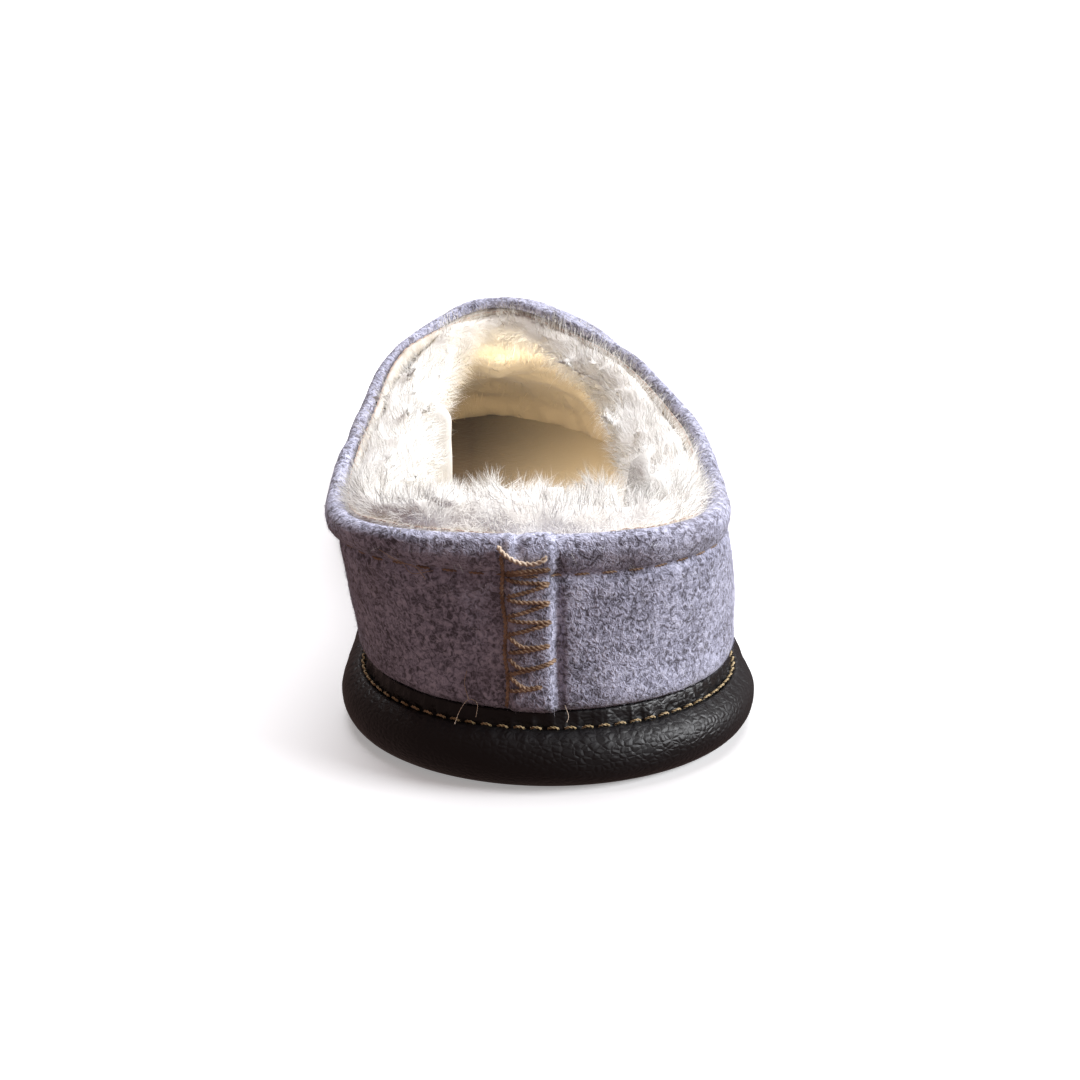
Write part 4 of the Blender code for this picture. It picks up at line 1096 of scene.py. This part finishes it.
class Look:
    """A material being built, with short calls to add nodes and to feed their sockets."""

    def __init__(self, name):
        self.material = bpy.data.materials.new(name)
        self.material.use_nodes = True
        self.tree = self.material.node_tree
        self.place = self.add("ShaderNodeTexCoord").outputs["Object"]

    def feed(self, socket, value):
        """Give a socket a number, a vector, a colour without its alpha, or another node's output."""
        if isinstance(value, (int, float)):
            socket.default_value = value
        elif isinstance(value, tuple):
            socket.default_value = (*value, 1.0) if socket.type == "RGBA" else value
        else:
            self.tree.links.new(value, socket)

    def add(self, kind, **values):
        """A node. Each value sets its property or, with _ for a space, its socket of that name."""
        node = self.tree.nodes.new(kind)
        for name, value in values.items():
            if hasattr(node, name):
                setattr(node, name, value)
            else:
                self.feed(node.inputs[name.replace("_", " ")], value)
        return node

    def noise(self, size, detail=3.0, kind="FBM", distortion=0.0, place=None):
        """Noise whose features are about this size, in metres."""
        values = {"Scale": 0.5 / size, "Detail": detail, "Roughness": 0.55, "Distortion": distortion}
        node = self.add("ShaderNodeTexNoise", noise_type=kind, **values, Vector=place or self.place)
        return node.outputs["Fac"]

    def cells(self, size, randomness, place):
        """The distance to the edge of the nearest of many cells of about this size."""
        values = {"Scale": 1.0 / size, "Randomness": randomness, "Vector": place}
        return self.add("ShaderNodeTexVoronoi", feature="DISTANCE_TO_EDGE", **values).outputs["Distance"]

    def stretched(self, scale, warp, warp_size=0.002):
        """The place, stretched by a factor on each axis and pushed about by noise."""
        plain = self.add("ShaderNodeMapping", Scale=scale, Vector=self.place)
        push = self.add("ShaderNodeTexNoise", Scale=0.5 / warp_size, Detail=2.0, Vector=self.place)
        values = (push.outputs["Color"], (warp, warp, warp), plain.outputs["Vector"])
        return self.math("MULTIPLY_ADD", *values, node="ShaderNodeVectorMath")

    def math(self, kind, *values, node="ShaderNodeMath"):
        """The result of one step of arithmetic on the values."""
        node = self.add(node, operation=kind)
        for socket, value in zip(node.inputs, values):
            self.feed(socket, value)
        return node.outputs[0]

    def ramp(self, source, *stops):
        """A ramp of colours, each with the source's value where it stands."""
        node = self.add("ShaderNodeValToRGB", Fac=source)
        elements = node.color_ramp.elements
        while len(elements) < len(stops):
            elements.new(0.5)
        for element, (at, colour) in zip(elements, stops):
            element.position = at
            element.color = (*colour, 1.0)
        return node.outputs["Color"]

    def levels(self, source, low, high, start=0.0, end=1.0):
        """The source's values from low to high, spread from start to end."""
        values = {"From_Min": low, "From_Max": high, "To_Min": start, "To_Max": end}
        return self.add("ShaderNodeMapRange", clamp=True, Value=source, **values).outputs["Result"]

    def mix(self, share, one, two):
        """Two colours mixed: the first at share 0, the second at 1."""
        node = self.add("ShaderNodeMix", data_type="RGBA")
        sockets = {s.identifier: s for s in node.inputs}
        for name, value in (("Factor_Float", share), ("A_Color", one), ("B_Color", two)):
            self.feed(sockets[name], value)
        return next(s for s in node.outputs if s.identifier == "Result_Color")

    def finish(self, colour, roughness, height=None, depth=0.0, strength=1.0, **fixed):
        """Join colour, roughness and relief to the shader. fixed sets sockets that are the same all over."""
        values = {"Base_Color": colour, "Roughness": roughness, **fixed}
        if height is not None:
            bump = self.add("ShaderNodeBump", Strength=strength, Distance=depth, Height=height)
            values["Normal"] = bump.outputs["Normal"]
        shader = self.tree.nodes["Principled BSDF"]
        for name, value in values.items():
            self.feed(shader.inputs[name.replace("_", " ")], value)
        return self.material


def felt_look():
    """Grey-lavender melange felt: dark and light wool in clumps, with pale curled fibres on top."""
    look = Look("wool_felt")
    clumps = look.noise(0.0040, 3.0, distortion=0.3)
    specks = look.noise(0.00052, 3.0, distortion=1.0)
    curls = look.noise(0.00050, 2.0, kind="RIDGED_MULTIFRACTAL", distortion=1.5)
    blend = look.math("ADD", look.math("MULTIPLY", clumps, 0.26), look.math("MULTIPLY", specks, 0.74))
    base = look.ramp(
        blend,
        (0.39, (0.15, 0.145, 0.185)),
        (0.46, (0.325, 0.33, 0.43)),
        (0.53, (0.535, 0.55, 0.71)),
        (0.62, (0.765, 0.785, 0.97)),
    )
    brown = look.levels(look.noise(0.009, 2.0), 0.45, 0.70)
    base = look.mix(look.math("MULTIPLY", brown, 0.25), base, (0.33, 0.29, 0.33))
    bright = look.levels(curls, 0.70, 1.35)
    colour = look.mix(look.math("MULTIPLY", bright, 0.60), base, (0.80, 0.83, 1.0))
    height = look.math("ADD", look.math("MULTIPLY", curls, 0.5), specks)
    sheen = {"Sheen_Weight": 0.25, "Sheen_Roughness": 0.5}
    return look.finish(colour, 0.95, height, 0.0007, 0.8, Specular_IOR_Level=0.15, **sheen)


def nap_look():
    """The wool hairs on the felt, each dark, middling or pale."""
    look = Look("wool_nap")
    tint = look.noise(0.0016, 2.0)
    colour = look.ramp(tint, (0.38, (0.32, 0.32, 0.43)), (0.50, (0.68, 0.70, 0.91)), (0.62, (0.88, 0.91, 1.0)))
    return look.finish(colour, 0.9, Specular_IOR_Level=0.15, Sheen_Weight=0.2)


def pile_look(name, light, dark, inner, painted_deep_shade, painted_lit_flank=None):
    """Shearling: creamy white, with deeper roots. Towards the toe, inside the opening, it turns to the inner
    colour, partly the wool's own yellower tone and partly painted shade, and then to a darker painted shade.
    """
    look = Look(name)
    tint = look.noise(0.005, 3.0)
    strands = look.noise(0.0009, 3.0, place=look.stretched((1.0, 1.0, 0.35), 0.004))
    colour = look.ramp(tint, (0.35, dark), (0.62, light))
    axes = look.add("ShaderNodeSeparateXYZ", Vector=look.place)
    # Painted shade, with some of the wool's own yellower tone: the inner colour further along the foot, where
    # the opening grows dark.
    colour = look.mix(look.levels(axes.outputs["Y"], -0.040, 0.016), colour, inner)
    # Painted shade: darker still towards the toe, deep in the opening.
    colour = look.mix(look.levels(axes.outputs["Y"], 0.030, 0.105), colour, painted_deep_shade)
    if painted_lit_flank:
        # Painted light: the flat insole is made lighter towards the outer side, as if its pile rose there into
        # the lit wall.
        colour = look.mix(look.levels(axes.outputs["X"], -0.014, 0.020), colour, painted_lit_flank)
    height = look.math("ADD", tint, strands)
    return look.finish(colour, 0.9, height, 0.0008, 0.3, Sheen_Weight=0.2, Specular_IOR_Level=0.1)


def leather_look(name, wrinkle, gloss, depth):
    """Black grained leather: pebbles split by fine creases, with a satin finish."""
    look = Look(name)
    pebbles = look.cells(0.0015, 0.95, look.stretched((1.0, 1.0, 1.5), 0.0011, 0.0016))
    pebbles = look.levels(pebbles, 0.0, 0.34)
    folds = look.noise(0.0030, 4.0, kind="RIDGED_MULTIFRACTAL", distortion=0.8)
    folds = look.levels(folds, 0.5, 1.5)
    pores = look.noise(0.0005, 2.0)
    pebbles, folds = look.math("MULTIPLY", pebbles, 1.0 - wrinkle), look.math("MULTIPLY", folds, wrinkle)
    height = look.math("ADD", look.math("ADD", pebbles, folds), look.math("MULTIPLY", pores, 0.18))
    worn = look.levels(look.noise(0.018, 3.0), 0.35, 0.75)
    colour = look.mix(worn, (0.0022, 0.0019, 0.0024), (0.0055, 0.0050, 0.0060))
    roughness = look.levels(worn, 0.0, 1.0, gloss, gloss + 0.12)
    return look.finish(colour, roughness, height, depth, 0.8, Specular_IOR_Level=0.50)


def thread_look(name, one, two):
    """Twisted thread of two shades."""
    look = Look(name)
    colour = look.ramp(look.noise(0.0012, 3.0), (0.40, one), (0.62, two))
    fibres = look.noise(0.00022, 2.0)
    return look.finish(colour, 0.62, fibres, 0.0001, 0.6, Sheen_Weight=0.15)


def binding_look():
    """The cut edge of cream skin."""
    look = Look("skin_edge")
    colour = look.ramp(look.noise(0.0025, 3.0), (0.38, (0.68, 0.60, 0.49)), (0.62, (0.82, 0.78, 0.70)))
    grain = look.noise(0.0006, 3.0)
    return look.finish(colour, 0.85, grain, 0.0003, 0.5, Sheen_Weight=0.1)


def floor_look():
    """A near-white floor that gives off a little light, so that it stays as white as the photograph's."""
    look = Look("floor_paint")
    tint = look.noise(0.8, 2.0)
    colour = look.mix(look.levels(tint, 0.3, 0.7), (0.86, 0.86, 0.865), (0.88, 0.88, 0.88))
    glow = {"Emission_Color": (1.0, 1.0, 1.0), "Emission_Strength": 0.30}
    return look.finish(colour, 0.8, Specular_IOR_Level=0.2, **glow)


def make_world(scene):
    """A dim, warm surrounding light for the shaded sides, behind a pale backdrop."""
    world = bpy.data.worlds.new("studio")
    world.use_nodes = True
    tree = world.node_tree
    shade = tree.nodes["Background"]
    shade.inputs["Color"].default_value = (*AMBIENT, 1.0)
    shade.inputs["Strength"].default_value = AMBIENT_STRENGTH
    backdrop = tree.nodes.new("ShaderNodeBackground")
    backdrop.inputs["Color"].default_value = (1.0, 1.0, 1.0, 1.0)
    path = tree.nodes.new("ShaderNodeLightPath")
    mix = tree.nodes.new("ShaderNodeMixShader")
    tree.links.new(path.outputs["Is Camera Ray"], mix.inputs[0])
    tree.links.new(shade.outputs[0], mix.inputs[1])
    tree.links.new(backdrop.outputs[0], mix.inputs[2])
    tree.links.new(mix.outputs[0], tree.nodes["World Output"].inputs["Surface"])
    scene.world = world


def aimed(name, data, place, aim):
    """A lamp or a camera at its place, turned to its aim."""
    made = placed(name, data)
    made.location = place
    made.rotation_euler = (Vector(aim) - Vector(place)).to_track_quat("-Z", "Y").to_euler()
    return made


def make_stage():
    """A plain pale floor, soft lights and a camera at the photograph's viewing angle."""
    mesh = bpy.data.meshes.new("floor")
    half = FLOOR_SIDE / 2
    corners = [(-half, -half, 0), (half, -half, 0), (half, half, 0), (-half, half, 0)]
    mesh.from_pydata(corners, [], [(0, 1, 2, 3)])
    mesh.materials.append(floor_look())
    floor = placed("floor", mesh)
    floor.visible_diffuse = False
    floor.visible_glossy = False
    scene = bpy.context.scene
    scene.view_settings.view_transform = "Standard"
    make_world(scene)
    for name, kind, place, aim, power, width, colour in LAMPS:
        lamp = bpy.data.lights.new(name, kind)
        lamp.energy = power
        lamp.color = colour
        if kind == "SUN":
            lamp.angle = math.radians(width)
        else:
            lamp.shape = "DISK"
            lamp.size = width
            lamp.spread = math.radians(OPENING_SPREAD)
        aimed(name, lamp, place, aim).visible_camera = False
    camera = bpy.data.cameras.new("camera")
    camera.lens = CAMERA_LENS
    camera.sensor_width = CAMERA_SENSOR
    camera.clip_start = 0.01
    scene.camera = aimed("camera", camera, CAMERA_PLACE, CAMERA_AIM)


def main():
    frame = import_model()
    make_stage()
    wall = Wall()
    felt = felt_look()
    white = pile_look(
        "shearling_white",
        light=(0.94, 0.925, 0.885),
        dark=(0.91, 0.88, 0.82),
        # The inner colour is the wool's yellower tone with painted shade; the next is painted deep shade inside
        # the opening.
        inner=(0.78, 0.68, 0.51),
        painted_deep_shade=(0.52, 0.40, 0.25),
    )
    inside = pile_look(
        "shearling_inside",
        light=(0.70, 0.64, 0.54),
        dark=(0.62, 0.54, 0.42),
        # The inner and the next colour are painted shade: the insole darker inside the opening.
        inner=(0.13, 0.09, 0.052),
        painted_deep_shade=(0.07, 0.045, 0.025),
        # Painted light on the insole's outer side.
        painted_lit_flank=(0.60, 0.52, 0.39),
    )
    tan = thread_look("thread_tan", (0.33, 0.215, 0.135), (0.58, 0.41, 0.27))
    pale = thread_look("thread_pale", (0.62, 0.47, 0.34), (0.86, 0.72, 0.56))
    gold = thread_look("thread_gold", (0.46, 0.34, 0.16), (0.74, 0.58, 0.33))
    rose = thread_look("thread_rose", (0.62, 0.42, 0.31), (0.80, 0.62, 0.50))
    outer = make_felt(wall, felt)
    make_nap(wall, outer, nap_look())
    points, faces = make_pile(frame, wall, white)
    make_pile_edge(white)
    make_pile_hairs(points, faces, white)
    insole = frame["nodes"]["insole"]
    insole.data.materials.clear()
    insole.data.materials.append(inside)
    make_insole_hairs(frame, inside)
    make_sole(leather_look("leather_roll", 0.35, 0.42, 0.00020))
    make_rand(leather_look("leather_rand", 0.80, 0.34, 0.00040))
    make_topstitch(gold)
    make_seam_threads(wall, outer, tan, pale)
    make_loose_fibres(wall, outer, pale)
    make_hem_stitches(wall, outer, tan)
    make_binding(wall, binding_look(), rose)


main()
